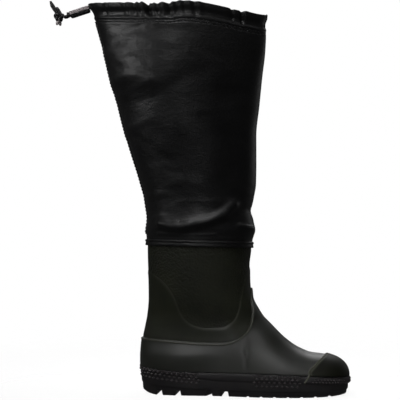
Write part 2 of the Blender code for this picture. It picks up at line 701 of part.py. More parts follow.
def build_knot(material):
    """The knot and its two loose ends as one lump."""
    bpy.ops.mesh.primitive_uv_sphere_add(segments=16, ring_count=10, radius=0.5)
    knot = bpy.context.object
    knot.name = "drawcord_knot"
    for vertex in knot.data.vertices:
        vertex.co *= Vector((KNOT_LENGTH, KNOT_WIDTH, KNOT_HEIGHT)) * MM
    knot.location = Vector(knot_centre()) * MM
    knot.data.materials.append(material)
    for length, slope in ((TAIL_UP_LENGTH, TAIL_UP_SLOPE), (TAIL_DOWN_LENGTH, TAIL_DOWN_SLOPE)):
        tail = helper(as_mesh(round_cord("knot_tail", tail_route(length, slope), TAIL_DIAMETER, material)))
        join = knot.modifiers.new("tail", "BOOLEAN")
        join.object = tail
        join.operation = "UNION"
    return knot


def finish(name, colour, roughness):
    """A plain material with the photo's colour and sheen."""
    made = bpy.data.materials.new(name)
    made.use_nodes = True
    shader = made.node_tree.nodes["Principled BSDF"]
    shader.inputs["Base Color"].default_value = (*colour, 1)
    shader.inputs["Roughness"].default_value = roughness
    shader.inputs["Metallic"].default_value = 0
    return made


def box_of(objects):
    """Lowest and highest corner of the objects as they are evaluated."""
    graph = bpy.context.evaluated_depsgraph_get()
    corners = []
    for made in objects:
        evaluated = made.evaluated_get(graph)
        mesh = evaluated.to_mesh()
        corners += [made.matrix_world @ v.co for v in mesh.vertices]
        evaluated.to_mesh_clear()
    corners = np.array(corners)
    return corners.min(0), corners.max(0)


def centre_on_floor(boot, cord):
    """Moves all under one empty, so that the boot without its cord stands centred over the origin."""
    bpy.context.view_layer.update()
    low, high = box_of(boot)
    middle = (low + high) / 2
    carrier = bpy.data.objects.new("boot", None)
    bpy.context.scene.collection.objects.link(carrier)
    cutters = [m.object for made in boot + cord for m in made.modifiers if m.type == "BOOLEAN"]
    for made in boot + cord + cutters:
        made.parent = carrier
    carrier.location = (-middle[0], -middle[1], -low[2])


def main():
    for old in list(bpy.data.objects):
        bpy.data.objects.remove(old)
    olive_rubber = finish("olive_rubber", (0.012, 0.013, 0.009), 0.45)
    sole_rubber = finish("sole_rubber", (0.008, 0.008, 0.009), 0.6)
    coated_cloth = finish("coated_cloth", (0.006, 0.006, 0.007), 0.38)
    felt = finish("insole_felt", (0.05, 0.05, 0.05), 0.9)
    dark_plastic = finish("dark_plastic", (0.035, 0.03, 0.032), 0.4)
    braid = finish("cord_braid", (0.01, 0.01, 0.01), 0.8)
    boot = [build_outsole(sole_rubber), build_insole(felt), build_upper(olive_rubber),
            build_toe_cap(olive_rubber), build_gaiter(coated_cloth), build_binding(coated_cloth),
            build_back_seam(coated_cloth)]
    cord = [build_cord_lock(dark_plastic), build_knot(braid)]
    for name, side in (("drawcord_outer", -1), ("drawcord_inner", 1)):
        cord.append(round_cord(name, smooth_route(strand_route(side), 4), CORD_DIAMETER, braid))
    centre_on_floor(boot, cord)


main()
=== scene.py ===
"""The looks of a rubber boot with a soft drawcord shaft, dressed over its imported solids.

Shapes are worked out in millimetres, with x measured from the back of the heel, and moved to the row
frame in metres when a piece is made. +X points to the toe, -Y to the outer side of the foot.
"""

import math
from collections import namedtuple

import bpy
import numpy as np
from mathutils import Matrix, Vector, kdtree


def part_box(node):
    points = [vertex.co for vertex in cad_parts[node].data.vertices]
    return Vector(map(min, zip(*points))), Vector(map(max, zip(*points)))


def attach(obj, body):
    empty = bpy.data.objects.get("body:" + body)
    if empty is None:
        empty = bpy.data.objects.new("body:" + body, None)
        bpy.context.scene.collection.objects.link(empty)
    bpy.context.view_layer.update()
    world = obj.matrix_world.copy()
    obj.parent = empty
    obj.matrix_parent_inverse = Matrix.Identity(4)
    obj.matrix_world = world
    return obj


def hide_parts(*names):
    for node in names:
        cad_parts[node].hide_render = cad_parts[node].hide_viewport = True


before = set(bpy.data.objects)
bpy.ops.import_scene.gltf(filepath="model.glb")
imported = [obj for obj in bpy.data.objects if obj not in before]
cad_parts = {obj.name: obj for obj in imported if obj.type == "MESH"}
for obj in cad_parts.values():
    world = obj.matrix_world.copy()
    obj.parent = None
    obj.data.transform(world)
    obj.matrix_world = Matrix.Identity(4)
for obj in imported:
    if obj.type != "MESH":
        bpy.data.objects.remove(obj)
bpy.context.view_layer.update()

MM = 0.001
TURN = 2 * math.pi

# Sizes shared with the part
SOLE_LENGTH = 273.0
COLLAR_HEIGHT = 199.5
COLLAR_SLANT = 1.8
SHAFT_HEIGHT = 500.5
RUBBER_WALL = 2.4
CLOTH_WALL = 1.2
FIT_GAP = 0.3
ANKLE_LAYER = 0.8
FOOT_LAYER = 1.5
TOE_CAP_STAND = 1.65

# The foot: vertical sections, with the half widths to the outer and the inner side and the top
FootSection = namedtuple("FootSection", "x outer inner top")
FOOT_SECTIONS = (
    FootSection(x=20, outer=22, inner=22, top=70),
    FootSection(x=70, outer=29, inner=28, top=95),
    FootSection(x=110, outer=36, inner=32, top=108),
    FootSection(x=145, outer=42.5, inner=37.5, top=101),
    FootSection(x=165, outer=45, inner=41, top=92),
    FootSection(x=189, outer=46, inner=45, top=70),
    FootSection(x=205, outer=45, inner=46, top=58.8),
    FootSection(x=225, outer=42.5, inner=45, top=51.2),
    FootSection(x=250, outer=41, inner=44, top=49.4),
    FootSection(x=276, outer=40, inner=43, top=48.5),
)
FOOT_BASE = 24.0
FOOT_BACK, FOOT_START = 12.0, 60.0
TOE_START, TOE_TIP, TOE_SWING = 226.0, 269.0, 0.06
ACROSS_POWER, UP_POWER, TOE_POWER, FOOT_POWER = 2.5, 2.4, 2.6, 2.4
FIELD_SCALE = 40.0

# The heel and the short rubber shaft: level sections
ShaftSection = namedtuple("ShaftSection", "z back front half")
SHAFT_SECTIONS = (
    ShaftSection(z=26, back=4.5, front=118, half=34),
    ShaftSection(z=50, back=2.8, front=126, half=37.5),
    ShaftSection(z=68, back=4.0, front=138, half=34.3),
    ShaftSection(z=86, back=7.5, front=152, half=37),
    ShaftSection(z=104, back=11.0, front=152, half=42),
    ShaftSection(z=124, back=12.5, front=146.5, half=47),
    ShaftSection(z=146, back=12.3, front=144, half=50.5),
    ShaftSection(z=166, back=11.0, front=143.8, half=52.5),
    ShaftSection(z=188, back=10.5, front=146, half=53),
    ShaftSection(z=COLLAR_HEIGHT + COLLAR_SLANT, back=10.5, front=146, half=53),
)
SHAFT_POWER = 2.2
ANKLE_FILLET = 14.0

# Lines that run round the upper, from the sole to the collar: the height of each at the front, at its
# lowest point (dip degrees round from the front) and at the back, and the stretch it is measured from
Level = namedtuple("Level", "front low back dip rise fall spine_back spine_front")
LEVELS = (
    Level(front=25.5, low=30.4, back=38.3, dip=80, rise=1.2, fall=5, spine_back=38, spine_front=218),
    Level(front=34, low=38, back=46, dip=86, rise=2, fall=3.5, spine_back=38, spine_front=215),
    Level(front=43.5, low=46, back=54, dip=84, rise=2.5, fall=2.5, spine_back=38, spine_front=204),
    Level(front=53, low=53, back=61, dip=80, rise=2.3, fall=2, spine_back=42, spine_front=168),
    Level(front=84, low=60, back=66.5, dip=68, rise=3, fall=2, spine_back=50, spine_front=122),
    Level(front=137, low=67, back=72, dip=62, rise=3.7, fall=2, spine_back=58, spine_front=95),
    Level(front=165, low=85, back=159, dip=70, rise=3, fall=1.6, spine_back=66, spine_front=88),
    Level(front=COLLAR_HEIGHT - COLLAR_SLANT, low=COLLAR_HEIGHT, back=COLLAR_HEIGHT + COLLAR_SLANT,
          dip=90, rise=1, fall=1, spine_back=72, spine_front=82),
)
# The rows of the foot's raised edge and of the collar
FOOT_EDGE, COLLAR = 5, 7
# The cap's reach in degrees round from the front, the level of its top, and how its edge slants back
# down the sole's side
TOE_CAP_ANGLE, TOE_CAP_TOP, TOE_CAP_SLANT = 50.0, 2.65, 3.0

# The sole's side from the tread (0) past its ridge line (1) to the upper (2), with rounded steps: how
# far each stands proud, and its share of the bumper round the toe
SideStep = namedtuple("SideStep", "height proud bumper")
SIDE_STEPS = tuple(SideStep(*step) for step in (
    (0.0, -4.2, 0), (0.02, -3.2, 0), (0.07, -2.6, 0), (0.34, -2.1, 0), (0.38, -1.8, 0), (0.41, -1.0, 0),
    (0.46, -0.75, 0), (0.90, -0.3, 0), (0.95, -0.3, 0), (0.98, -0.25, 0.05), (1.01, -0.1, 0.3),
    (1.05, 0.2, 0.8), (1.10, 0.5, 1), (1.2, 0.7, 1), (1.62, 0.7, 1), (1.78, 0.45, 0.95), (1.9, 0.0, 0.8),
    (1.97, -0.5, 0.6), (2.0, -0.9, 0.5)))
RidgeLine = namedtuple("RidgeLine", "x z")
RIDGE_LINE = tuple(RidgeLine(*place) for place in (
    (0, 31), (30, 29), (67, 24), (110, 19.7), (200, 18.8), (273, 16.5)))
# The bumper fades out over this many degrees to each side of its edge
BUMPER_PROUD, BUMPER_FADE = 1.3, 1.0
HEEL_TUCK, HEEL_TUCK_START = 1.5, 130.0
TOE_SPRING, TOE_SPRING_START = 3.4, 196.0
HEEL_BEVEL, HEEL_BEVEL_END = 8.0, 28.0

# Tread grooves, swept back towards the inner and outer edges, and narrower at their ceiling. The
# forefoot's run out shallow towards the edges.
GROOVE_TAPER = 0.22
LUG_DEPTH, FOREFOOT_DEPTH, FOREFOOT_RUN_OUT = 6.5, 4.2, 6.0
GROOVE_HALF_LENGTH = SOLE_LENGTH / 3
Groove = namedtuple("Groove", "x width sweep")
HEEL_GROOVES = (Groove(x=30, width=7, sweep=0), Groove(x=54.5, width=6.5, sweep=0),
                Groove(x=82, width=7, sweep=20), Groove(x=115, width=8, sweep=0))
FOREFOOT_GROOVE, FOREFOOT_PITCH, FOREFOOT_GROOVES = Groove(x=139, width=4, sweep=9), 17.0, 7
CENTRE_GROOVE_WIDTH, CENTRE_GROOVE_ENDS, CENTRE_GROOVE_DEPTH = 7.0, (128, 232), FOREFOOT_DEPTH - 1

# The footbed inside the sole, and the insole on it
Footbed = namedtuple("Footbed", "x z")
FOOTBED = tuple(Footbed(*place) for place in ((0, 21), (70, 20), (150, 13.5), (215, 13.5), (276, 20)))
FOOTBED_INSET = RUBBER_WALL + 1
INSOLE_THICKNESS, INSOLE_MARGIN = 3.5, 0.6

# The soft shaft: level sections, and the tilt of its rim
GaiterSection = namedtuple("GaiterSection", "z back front half power")
# The cuff runs straight up from the soft shaft's lower edge to this far over the collar
GAITER_BOTTOM, CUFF_OVER_COLLAR = 190.5, 3
CLOTH_OUT = FIT_GAP + CLOTH_WALL
COLLAR_SECTION = SHAFT_SECTIONS[-1]
CUFF = GaiterSection(z=GAITER_BOTTOM, back=COLLAR_SECTION.back - CLOTH_OUT,
                     front=COLLAR_SECTION.front + CLOTH_OUT, half=COLLAR_SECTION.half + CLOTH_OUT,
                     power=SHAFT_POWER)
GAITER_SECTIONS = (
    CUFF,
    CUFF._replace(z=COLLAR_HEIGHT + COLLAR_SLANT + CUFF_OVER_COLLAR),
    GaiterSection(z=220, back=10, front=148.5, half=56, power=2.15),
    GaiterSection(z=246, back=7.5, front=148.5, half=56.5, power=2.1),
    GaiterSection(z=276, back=-0.5, front=152.5, half=57.5, power=2.05),
    GaiterSection(z=306, back=-10.5, front=153, half=59, power=2.0),
    GaiterSection(z=341, back=-22, front=153, half=61, power=1.95),
    GaiterSection(z=381, back=-32.5, front=157, half=62, power=1.9),
    GaiterSection(z=421, back=-43.5, front=161, half=62, power=1.85),
    GaiterSection(z=456, back=-54, front=165, half=60, power=1.8),
    GaiterSection(z=478, back=-61, front=166, half=58, power=1.78),
    GaiterSection(z=SHAFT_HEIGHT, back=-69, front=166, half=55, power=1.75),
)
RIM_FRONT, RIM_SIDE, RIM_BACK, RIM_SHARPNESS = -10.5, 2.0, 11.0, 1.5
HEM_HEIGHT, HEM_WALL = 22.0, 2.6
HEM_SEAM = SHAFT_HEIGHT - HEM_HEIGHT
BINDING_HEIGHT = 8.0
SEAM_HALF_ANGLE, SEAM_THICKNESS = 11.0, 0.8
SEAM_BOTTOM, SEAM_TOP = 205.0, 477.0

# Folds across the front of the soft shaft, which fade out round its sides and are low at the back
RoundFold = namedtuple("RoundFold", "back_z front_z out breadth")
ROUND_FOLDS = (
    RoundFold(back_z=211, front_z=213, out=3.2, breadth=9),
    RoundFold(back_z=228, front_z=239, out=-3.0, breadth=8),
)
ROUND_FOLD_SHARPNESS, ROUND_FOLD_BACK = 0.8, 0.2

# Folds on one side of the soft shaft: the line (x, z) that a fold's crest follows, how far the crest
# stands out (under 0 for a trough), and how broad it is above the line and below it
OUTER, INNER = -1, 1
SideFold = namedtuple("SideFold", "side line out above below")
SIDE_FOLDS = (
    SideFold(OUTER, ((34, 219), (46, 215.5), (60, 214.5), (76, 218), (100, 225.5), (116, 233), (126, 244)),
             5.6, 8.5, 6.2),
    SideFold(OUTER, ((60, 241), (78, 246), (98, 256), (114, 268)), -0.7, 14, 10),
    SideFold(OUTER, ((134, 219), (146, 217)), 2.2, 3, 5),
    SideFold(OUTER, ((30, 206.5), (66, 205), (104, 207)), 0.6, 1.8, 2.4),
    SideFold(OUTER, ((58, 200.5), (100, 201), (138, 203)), 0.6, 1.6, 2.0),
    SideFold(OUTER, ((-42, 396), (-10, 402), (22, 399)), 4.0, 45, 15),
    SideFold(OUTER, ((-26, 401), (-12, 405.5), (4, 407), (20, 403)), 1.5, 3.5, 9),
    SideFold(OUTER, ((10, 376), (40, 390), (68, 406), (92, 414)), -1.0, 9, 10),
    SideFold(OUTER, ((60, 345), (90, 330), (108, 296)), 1.6, 24, 22),
    SideFold(OUTER, ((118, 380), (126, 330), (122, 280)), -2.6, 14, 14),
    SideFold(OUTER, ((30, 330), (46, 290), (52, 256)), -2.2, 18, 16),
    SideFold(OUTER, ((-34, 470), (6, 466)), -0.8, 5, 6),
    SideFold(OUTER, ((-28, 446), (18, 440)), -0.7, 4, 5),
    SideFold(INNER, ((28, 214), (60, 204), (98, 207), (136, 229)), 4.4, 7, 11),
    SideFold(INNER, ((34, 232), (70, 222), (110, 236)), -2.4, 12, 9),
    SideFold(INNER, ((10, 352), (50, 372), (92, 366)), 2.6, 9, 14),
    SideFold(INNER, ((0, 336), (52, 350), (90, 345)), -2.0, 8, 8),
    SideFold(INNER, ((-20, 420), (34, 404), (70, 414)), -2.2, 9, 9),
    SideFold(INNER, ((110, 398), (124, 340), (116, 290)), -2.6, 15, 15),
)
# A side fold is worked out as far as this many breadths from its line, and comes in between two sines of
# the angle round the shaft. All folds come in at the collar.
FOLD_REACH, FOLD_FACING, FOLDS_IN = 2.6, (-0.05, 0.3), (COLLAR_HEIGHT - 1.5, COLLAR_HEIGHT + 4.5)
# Small creases, and the ranges that a crease's height, half length, depth and breadth are drawn from
SMALL_CREASES, CREASE_SEED = 46, 7
CREASE_Z, CREASE_REACH, CREASE_OUT, CREASE_BREADTH = (225, 470), (9, 30), (0.25, 0.6), (3, 7)
CREASE_FROM_BACK, CREASE_FRONT, CREASE_SLOPE, CREASE_BEND = 8, 140, 0.35, 2
# The hem's pull leaves short wrinkles under it, at the back of the outer side
PULL_WRINKLES, WRINKLE_SEED = 26, 19
WRINKLE_Z, WRINKLE_X, WRINKLE_REACH = (412, 474), (-36, 24), (5, 14)
WRINKLE_OUT, WRINKLE_BREADTH, WRINKLE_SLOPE = (0.18, 0.42), (2.6, 4.2), (0.05, 0.2)

# The drawcord leaves the hem at the back, through a cord lock, to a knot
CORD_DIAMETER, CORD_SPACING, CORD_BELOW_RIM, CORD_EXIT_OUT = 4.0, 5.2, 5.0, 0.9
LOCK_LENGTH, LOCK_WIDTH, LOCK_HEIGHT = 27.0, 13.0, 10.0
LOCK_SLOPE = math.radians(17)
# Each strand runs on straight past the lock, then sags to the knot, where it is this many diameters aside
STRAND_BEYOND_LOCK, STRAND_STRAIGHT, STRAND_SAG, STRAND_ASIDE = 9.0, 1.5, 0.6, 0.56
KNOT_LENGTH, KNOT_DROP = 13.0, 2.5

# Steps of angle and level over which a slope is taken, and how often the search for a point of the upper
# halves its reach
ANGLE_STEP, LEVEL_STEP, HALVINGS = 0.02, 0.05, 24


def smooth_curve(stations, values, at):
    """A cubic curve through a table's points that doesn't overshoot them."""
    x = np.asarray(stations, float)
    y = np.asarray(values, float)
    step = np.diff(x)
    slope = np.diff(y) / step
    tangent = np.concatenate([slope[:1], np.zeros(len(x) - 2), slope[-1:]])
    for i in range(1, len(x) - 1):
        if slope[i - 1] * slope[i] > 0:
            tangent[i] = 2 * slope[i - 1] * slope[i] / (slope[i - 1] + slope[i])
    at = np.clip(np.asarray(at, float), x[0], x[-1])
    i = np.clip(np.searchsorted(x, at) - 1, 0, len(step) - 1)
    t = (at - x[i]) / step[i]
    start = (1 + 2 * t) * (1 - t) ** 2 * y[i] + t * (1 - t) ** 2 * step[i] * tangent[i]
    end = t * t * (3 - 2 * t) * y[i + 1] + t * t * (t - 1) * step[i] * tangent[i + 1]
    return start + end


def read_table(rows, key, column, at):
    """One column of a table, read smoothly at any value of its key column."""
    return smooth_curve([getattr(r, key) for r in rows], [getattr(r, column) for r in rows], at)


def smooth_step(value, low, high):
    """0 up to the low value, 1 from the high one, with a smooth rise between them."""
    t = np.clip((value - low) / (high - low), 0, 1)
    return t * t * (3 - 2 * t)


def bell(value, breadth):
    """1 at 0, falling away smoothly to both sides."""
    return np.exp(-((value / breadth) ** 2))


def unit(vectors):
    return vectors / np.linalg.norm(vectors, axis=-1, keepdims=True)


def even_angles(count):
    return np.arange(count) * (TURN / count)


def squared(angle, power):
    """Cosine and sine of an angle, pushed out from a circle towards a square by a power over 2."""
    return [np.sign(v) * np.abs(v) ** (2 / power) for v in (np.cos(angle), np.sin(angle))]


def run_along(line):
    """How far along a line each of its points lies."""
    return np.concatenate([[0], np.cumsum(np.linalg.norm(np.diff(line, axis=0), axis=1))])


def read_along(places, far, values):
    """Values at some places along a line, from those at its points, which lie this far along it."""
    return np.stack([np.interp(places, far, column) for column in values.T], -1)


def from_front(angle):
    """The angle round from the front, to either side, in radians."""
    return np.abs((angle + math.pi) % TURN - math.pi)


def foot_field(x, y, z):
    """About how far a point lies outside the foot, under 0 inside it."""
    outer = read_table(FOOT_SECTIONS, "x", "outer", x)
    inner = read_table(FOOT_SECTIONS, "x", "inner", x)
    top = read_table(FOOT_SECTIONS, "x", "top", x)
    past = np.maximum(x - TOE_START, 0)
    middle = (inner - outer) / 2 + TOE_SWING * past
    across = np.abs(y - middle) / ((inner + outer) / 2)
    up = np.maximum(z - FOOT_BASE, 0) / (top - FOOT_BASE)
    before = np.maximum(FOOT_START - x, 0) / (FOOT_START - FOOT_BACK)
    along = past / (TOE_TIP - TOE_START) + before
    reach = across**ACROSS_POWER + up**UP_POWER + along**TOE_POWER
    return (reach ** (1 / FOOT_POWER) - 1) * FIELD_SCALE


def shaft_field(x, y, z):
    """About how far a point lies outside the heel and shaft, under 0 inside them."""
    back = read_table(SHAFT_SECTIONS, "z", "back", z)
    front = read_table(SHAFT_SECTIONS, "z", "front", z)
    half = read_table(SHAFT_SECTIONS, "z", "half", z)
    along = np.abs(x - (front + back) / 2) / ((front - back) / 2)
    reach = along**SHAFT_POWER + (np.abs(y) / half) ** SHAFT_POWER
    return (reach ** (1 / SHAFT_POWER) - 1) * half


def boot_field(x, y, z):
    """Foot and shaft as one form, with a fillet where they meet."""
    foot = foot_field(x, y, z)
    shaft = shaft_field(x, y, z)
    near = np.maximum(ANKLE_FILLET - np.abs(foot - shaft), 0) / ANKLE_FILLET
    return np.minimum(foot, shaft) - near * near * ANKLE_FILLET / 4


def level_values(level):
    """The line round the upper at any level, between the rows of the table."""
    rows = range(len(LEVELS))
    return Level(*(smooth_curve(rows, [r[i] for r in LEVELS], level) for i in range(len(Level._fields))))


def level_height(line, angle):
    """The line's height at an angle round from the front."""
    around = from_front(angle)
    dip = np.radians(line.dip)
    ahead = np.cos(np.clip(around / dip, 0, 1) * math.pi / 2) ** line.rise
    behind = np.cos(np.clip((math.pi - around) / (math.pi - dip), 0, 1) * math.pi / 2) ** line.fall
    return line.low + (line.front - line.low) * ahead + (line.back - line.low) * behind


def upper_point(angle, level):
    """Points on the upper's plain outer surface."""
    angle, level = np.broadcast_arrays(np.asarray(angle, float), np.asarray(level, float))
    line = level_values(level)
    z = level_height(line, angle)
    middle = (line.spine_front + line.spine_back) / 2
    start = middle + (line.spine_front - line.spine_back) / 2 * np.cos(angle)
    near = np.zeros_like(angle)
    far = np.full_like(angle, SOLE_LENGTH)
    for _ in range(HALVINGS):
        reach = (near + far) / 2
        inside = boot_field(start + reach * np.cos(angle), reach * np.sin(angle), z) < 0
        near = np.where(inside, reach, near)
        far = np.where(inside, far, reach)
    return np.stack([start + near * np.cos(angle), near * np.sin(angle), z], -1)


def upper_along(angle, level):
    """The direction round the upper, not of unit length."""
    return upper_point(angle + ANGLE_STEP, level) - upper_point(angle - ANGLE_STEP, level)


def upper_normal(angle, level):
    above = upper_point(angle, np.minimum(level + LEVEL_STEP, COLLAR))
    below = upper_point(angle, np.maximum(level - LEVEL_STEP, 0))
    return unit(np.cross(upper_along(angle, level), above - below))


def plan_outline(angle, out):
    """The sole's outline from above: the upper's lower edge, moved out."""
    edge = upper_point(angle, 0.0)
    along = upper_along(angle, 0.0)
    normal = unit(np.stack([along[..., 1], -along[..., 0]], -1))
    return edge[..., :2] + np.asarray(out)[..., None] * normal


def tread_height(x):
    """Height of the tread over the floor: flat, with a bevelled heel and a toe that springs up."""
    toe = np.maximum(x - TOE_SPRING_START, 0) / (SOLE_LENGTH - TOE_SPRING_START)
    heel = np.maximum(HEEL_BEVEL_END - x, 0) / HEEL_BEVEL_END
    return TOE_SPRING * toe**2 + HEEL_BEVEL * heel**2


def bumper_edge(height):
    """Degrees round from the front at which the cap's edge crosses a height on the sole's side."""
    return TOE_CAP_ANGLE + TOE_CAP_SLANT * (2 - height)


def bumper_weight(angle, height):
    """1 round the toe, where the cap runs down and back over the sole's side, and 0 behind it."""
    edge = bumper_edge(height)
    return 1 - smooth_step(np.degrees(from_front(angle)), edge - BUMPER_FADE, edge + BUMPER_FADE)


def heel_tuck(angle):
    """How far the sole's side is drawn in round the back of the heel."""
    return HEEL_TUCK * smooth_step(np.degrees(from_front(angle)), HEEL_TUCK_START, 180)


def sole_side(angle, height, proud, bumper):
    """Points on the sole's side, at a height between the tread, the ridge line and the upper."""
    stand = ANKLE_LAYER + FOOT_LAYER + proud + bumper * BUMPER_PROUD * bumper_weight(angle, height)
    outline = plan_outline(angle, stand - heel_tuck(angle))
    tread = tread_height(outline[..., 0])
    ridge = read_table(RIDGE_LINE, "x", "z", outline[..., 0])
    top = level_height(LEVELS[0], angle) - FIT_GAP
    below = np.minimum(height, 1) * (ridge - tread)
    above = np.maximum(height - 1, 0) * (top - ridge)
    return np.concatenate([outline, (tread + below + above)[..., None]], -1)


# The heel's place in the row frame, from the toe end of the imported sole, which reaches furthest halfway
# from its ridge line to the upper
SOLID_TOE_HEIGHT, SOLID_TOE_PROUD = 1.5, 0.9
SOLE_TOE = sole_side(np.zeros(1), SOLID_TOE_HEIGHT, SOLID_TOE_PROUD, 1)[0, 0]
HEEL_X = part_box("outsole")[1].x / MM - SOLE_TOE


def to_row(points):
    """Millimetres from the heel to metres in the row frame."""
    return (np.asarray(points, float).reshape(-1, 3) + (HEEL_X, 0, 0)) * MM


# Camera, at the photograph's own angle
CAMERA_AIM = Vector((-0.0228, 0, 0.2514))
CAMERA_TURN, CAMERA_AWAY, CAMERA_HEIGHT = math.radians(6), 1.6, 0.2
CAMERA_LENS, CAMERA_SENSOR = 109.9, 36.0


def place_camera():
    camera = bpy.data.objects.new("camera", bpy.data.cameras.new("camera"))
    camera.data.lens = CAMERA_LENS
    camera.data.sensor_width = CAMERA_SENSOR
    camera.location = (CAMERA_AIM.x + CAMERA_AWAY * math.sin(CAMERA_TURN),
                       -CAMERA_AWAY * math.cos(CAMERA_TURN), CAMERA_HEIGHT)
    camera.rotation_euler = (CAMERA_AIM - camera.location).to_track_quat("-Z", "Y").to_euler()
    bpy.context.scene.collection.objects.link(camera)
    bpy.context.scene.camera = camera


# Finishes


def linear(code):
    """A hex colour as linear red, green, blue and alpha."""
    parts = [int(code[i:i + 2], 16) / 255 for i in (1, 3, 5)]
    return (*(p / 12.92 if p <= 0.04045 else ((p + 0.055) / 1.055) ** 2.4 for p in parts), 1.0)


def per_mm(size):
    """A pattern's scale in the metres of the row frame, from the size of one grain in millimetres."""
    return 1 / (size * MM)


def add(tree, kind, sockets, **settings):
    """Adds a node with its settings, and links each socket to another node's output or sets it."""
    made = tree.nodes.new("ShaderNode" + kind)
    for name, value in settings.items():
        setattr(made, name, value)
    for name, value in sockets.items():
        if isinstance(value, bpy.types.NodeSocket):
            tree.links.new(value, made.inputs[name])
        else:
            made.inputs[name].default_value = value
    return made


# The sockets of a node that mixes two colours
SHARE, FIRST, SECOND, MIXED = 0, 6, 7, 2


def new_finish(name):
    """An empty material, its node tree, and the place on a piece that its patterns are drawn by."""
    made = bpy.data.materials.new(name)
    made.use_nodes = True
    made.node_tree.nodes.clear()
    return made, made.node_tree, add(made.node_tree, "TexCoord", {}).outputs["Object"]


def finished(made, sockets):
    """Gives a material its one shader, with its steady values on the shader's own sockets."""
    shader = add(made.node_tree, "BsdfPrincipled", {"Metallic": 0.0, **sockets})
    add(made.node_tree, "OutputMaterial", {"Surface": shader.outputs[0]})
    return made


def moulded_olive_rubber(name, deep, pale, smooth, rough, shine, wax):
    """Vulcanised rubber from a steel mould: dark olive with a faint cloudy bloom, and matt. Wax has been
    rubbed into it on the foot and round the ankle, which gives a broad grey sheen that fades out up the
    shaft. The shaft's panel has a pebbled grain. The real pebbles are about 1.2 mm across, which is
    under a pixel, so they are drawn at 2.6 mm."""
    made, tree, place = new_finish(name)
    painted_highlight, grain, waxed = (add(tree, "Attribute", {}, attribute_name=key).outputs["Fac"]
                            for key in ("painted_highlight", "pebbled", "waxed"))
    cloud = add(tree, "TexNoise", {"Vector": place, "Scale": per_mm(38), "Detail": 5.0, "Roughness": 0.6})
    bloom = add(tree, "MapRange", {"Value": cloud.outputs["Fac"], "From Min": 0.35, "From Max": 0.68})
    plain = add(tree, "Mix", {SHARE: bloom.outputs[0], FIRST: linear(deep), SECOND: linear(pale)},
                data_type="RGBA")
    # Paler where a highlight is painted: along the foot's raised edge, the panel's border, and the toe cap's
    # roll and bead
    highlighted = add(tree, "Mix", {SHARE: painted_highlight, FIRST: plain.outputs[MIXED], SECOND: linear("#54554a")},
               data_type="RGBA")
    gloss = add(tree, "MapRange", {"Value": cloud.outputs["Fac"], "From Min": 0.3, "From Max": 0.7,
                                   "To Min": smooth, "To Max": rough})
    dulled = add(tree, "Math", {0: grain, 1: 0.1, 2: gloss.outputs[0]}, operation="MULTIPLY_ADD")
    film = add(tree, "Math", {0: waxed, 1: wax}, operation="MULTIPLY")
    pebble = add(tree, "TexVoronoi", {"Vector": place, "Scale": per_mm(2.6), "Randomness": 0.9},
                 feature="SMOOTH_F1")
    raised = add(tree, "MapRange", {"Value": pebble.outputs["Distance"], "From Min": 0.15, "From Max": 0.75,
                                    "To Min": 3.0, "To Max": 0.0})
    panel = add(tree, "Math", {0: raised.outputs[0], 1: grain}, operation="MULTIPLY")
    skin = add(tree, "TexNoise", {"Vector": place, "Scale": per_mm(1.4), "Detail": 3.0})
    height = add(tree, "Math", {0: skin.outputs["Fac"], 1: 0.12, 2: panel.outputs[0]},
                 operation="MULTIPLY_ADD")
    bump = add(tree, "Bump", {"Height": height.outputs[0], "Strength": 0.55, "Distance": 0.45 * MM})
    return finished(made, {"IOR": 1.52, "Specular IOR Level": shine, "Coat Roughness": 0.48,
                           "Coat Weight": film.outputs[0], "Base Color": highlighted.outputs[MIXED],
                           "Roughness": dulled.outputs[0], "Normal": bump.outputs[0]})


def moulded_sole_rubber():
    """Harder black rubber from an etched mould: nearly matt, with a cloudy dusty film, and a painted
    highlight that makes the crowns of its studs greyer."""
    made, tree, place = new_finish("moulded_sole_rubber")
    painted_highlight = add(tree, "Attribute", {}, attribute_name="painted_highlight").outputs["Fac"]
    cloud = add(tree, "TexNoise", {"Vector": place, "Scale": per_mm(22), "Detail": 6.0, "Roughness": 0.65})
    dust = add(tree, "MapRange", {"Value": cloud.outputs["Fac"], "From Min": 0.4, "From Max": 0.75})
    plain = add(tree, "Mix", {SHARE: dust.outputs[0], FIRST: linear("#141214"), SECOND: linear("#201d1e")},
                data_type="RGBA")
    # Paler where a highlight is painted, on the studs' crowns
    highlighted = add(tree, "Mix", {SHARE: painted_highlight, FIRST: plain.outputs[MIXED], SECOND: linear("#484244")},
               data_type="RGBA")
    gloss = add(tree, "MapRange", {"Value": cloud.outputs["Fac"], "From Min": 0.3, "From Max": 0.7,
                                   "To Min": 0.46, "To Max": 0.6})
    etch = add(tree, "TexNoise", {"Vector": place, "Scale": per_mm(1.1), "Detail": 4.0})
    bump = add(tree, "Bump", {"Height": etch.outputs["Fac"], "Strength": 0.35, "Distance": 0.25 * MM})
    return finished(made, {"IOR": 1.52, "Specular IOR Level": 0.45, "Base Color": highlighted.outputs[MIXED],
                           "Roughness": gloss.outputs[0], "Normal": bump.outputs[0]})


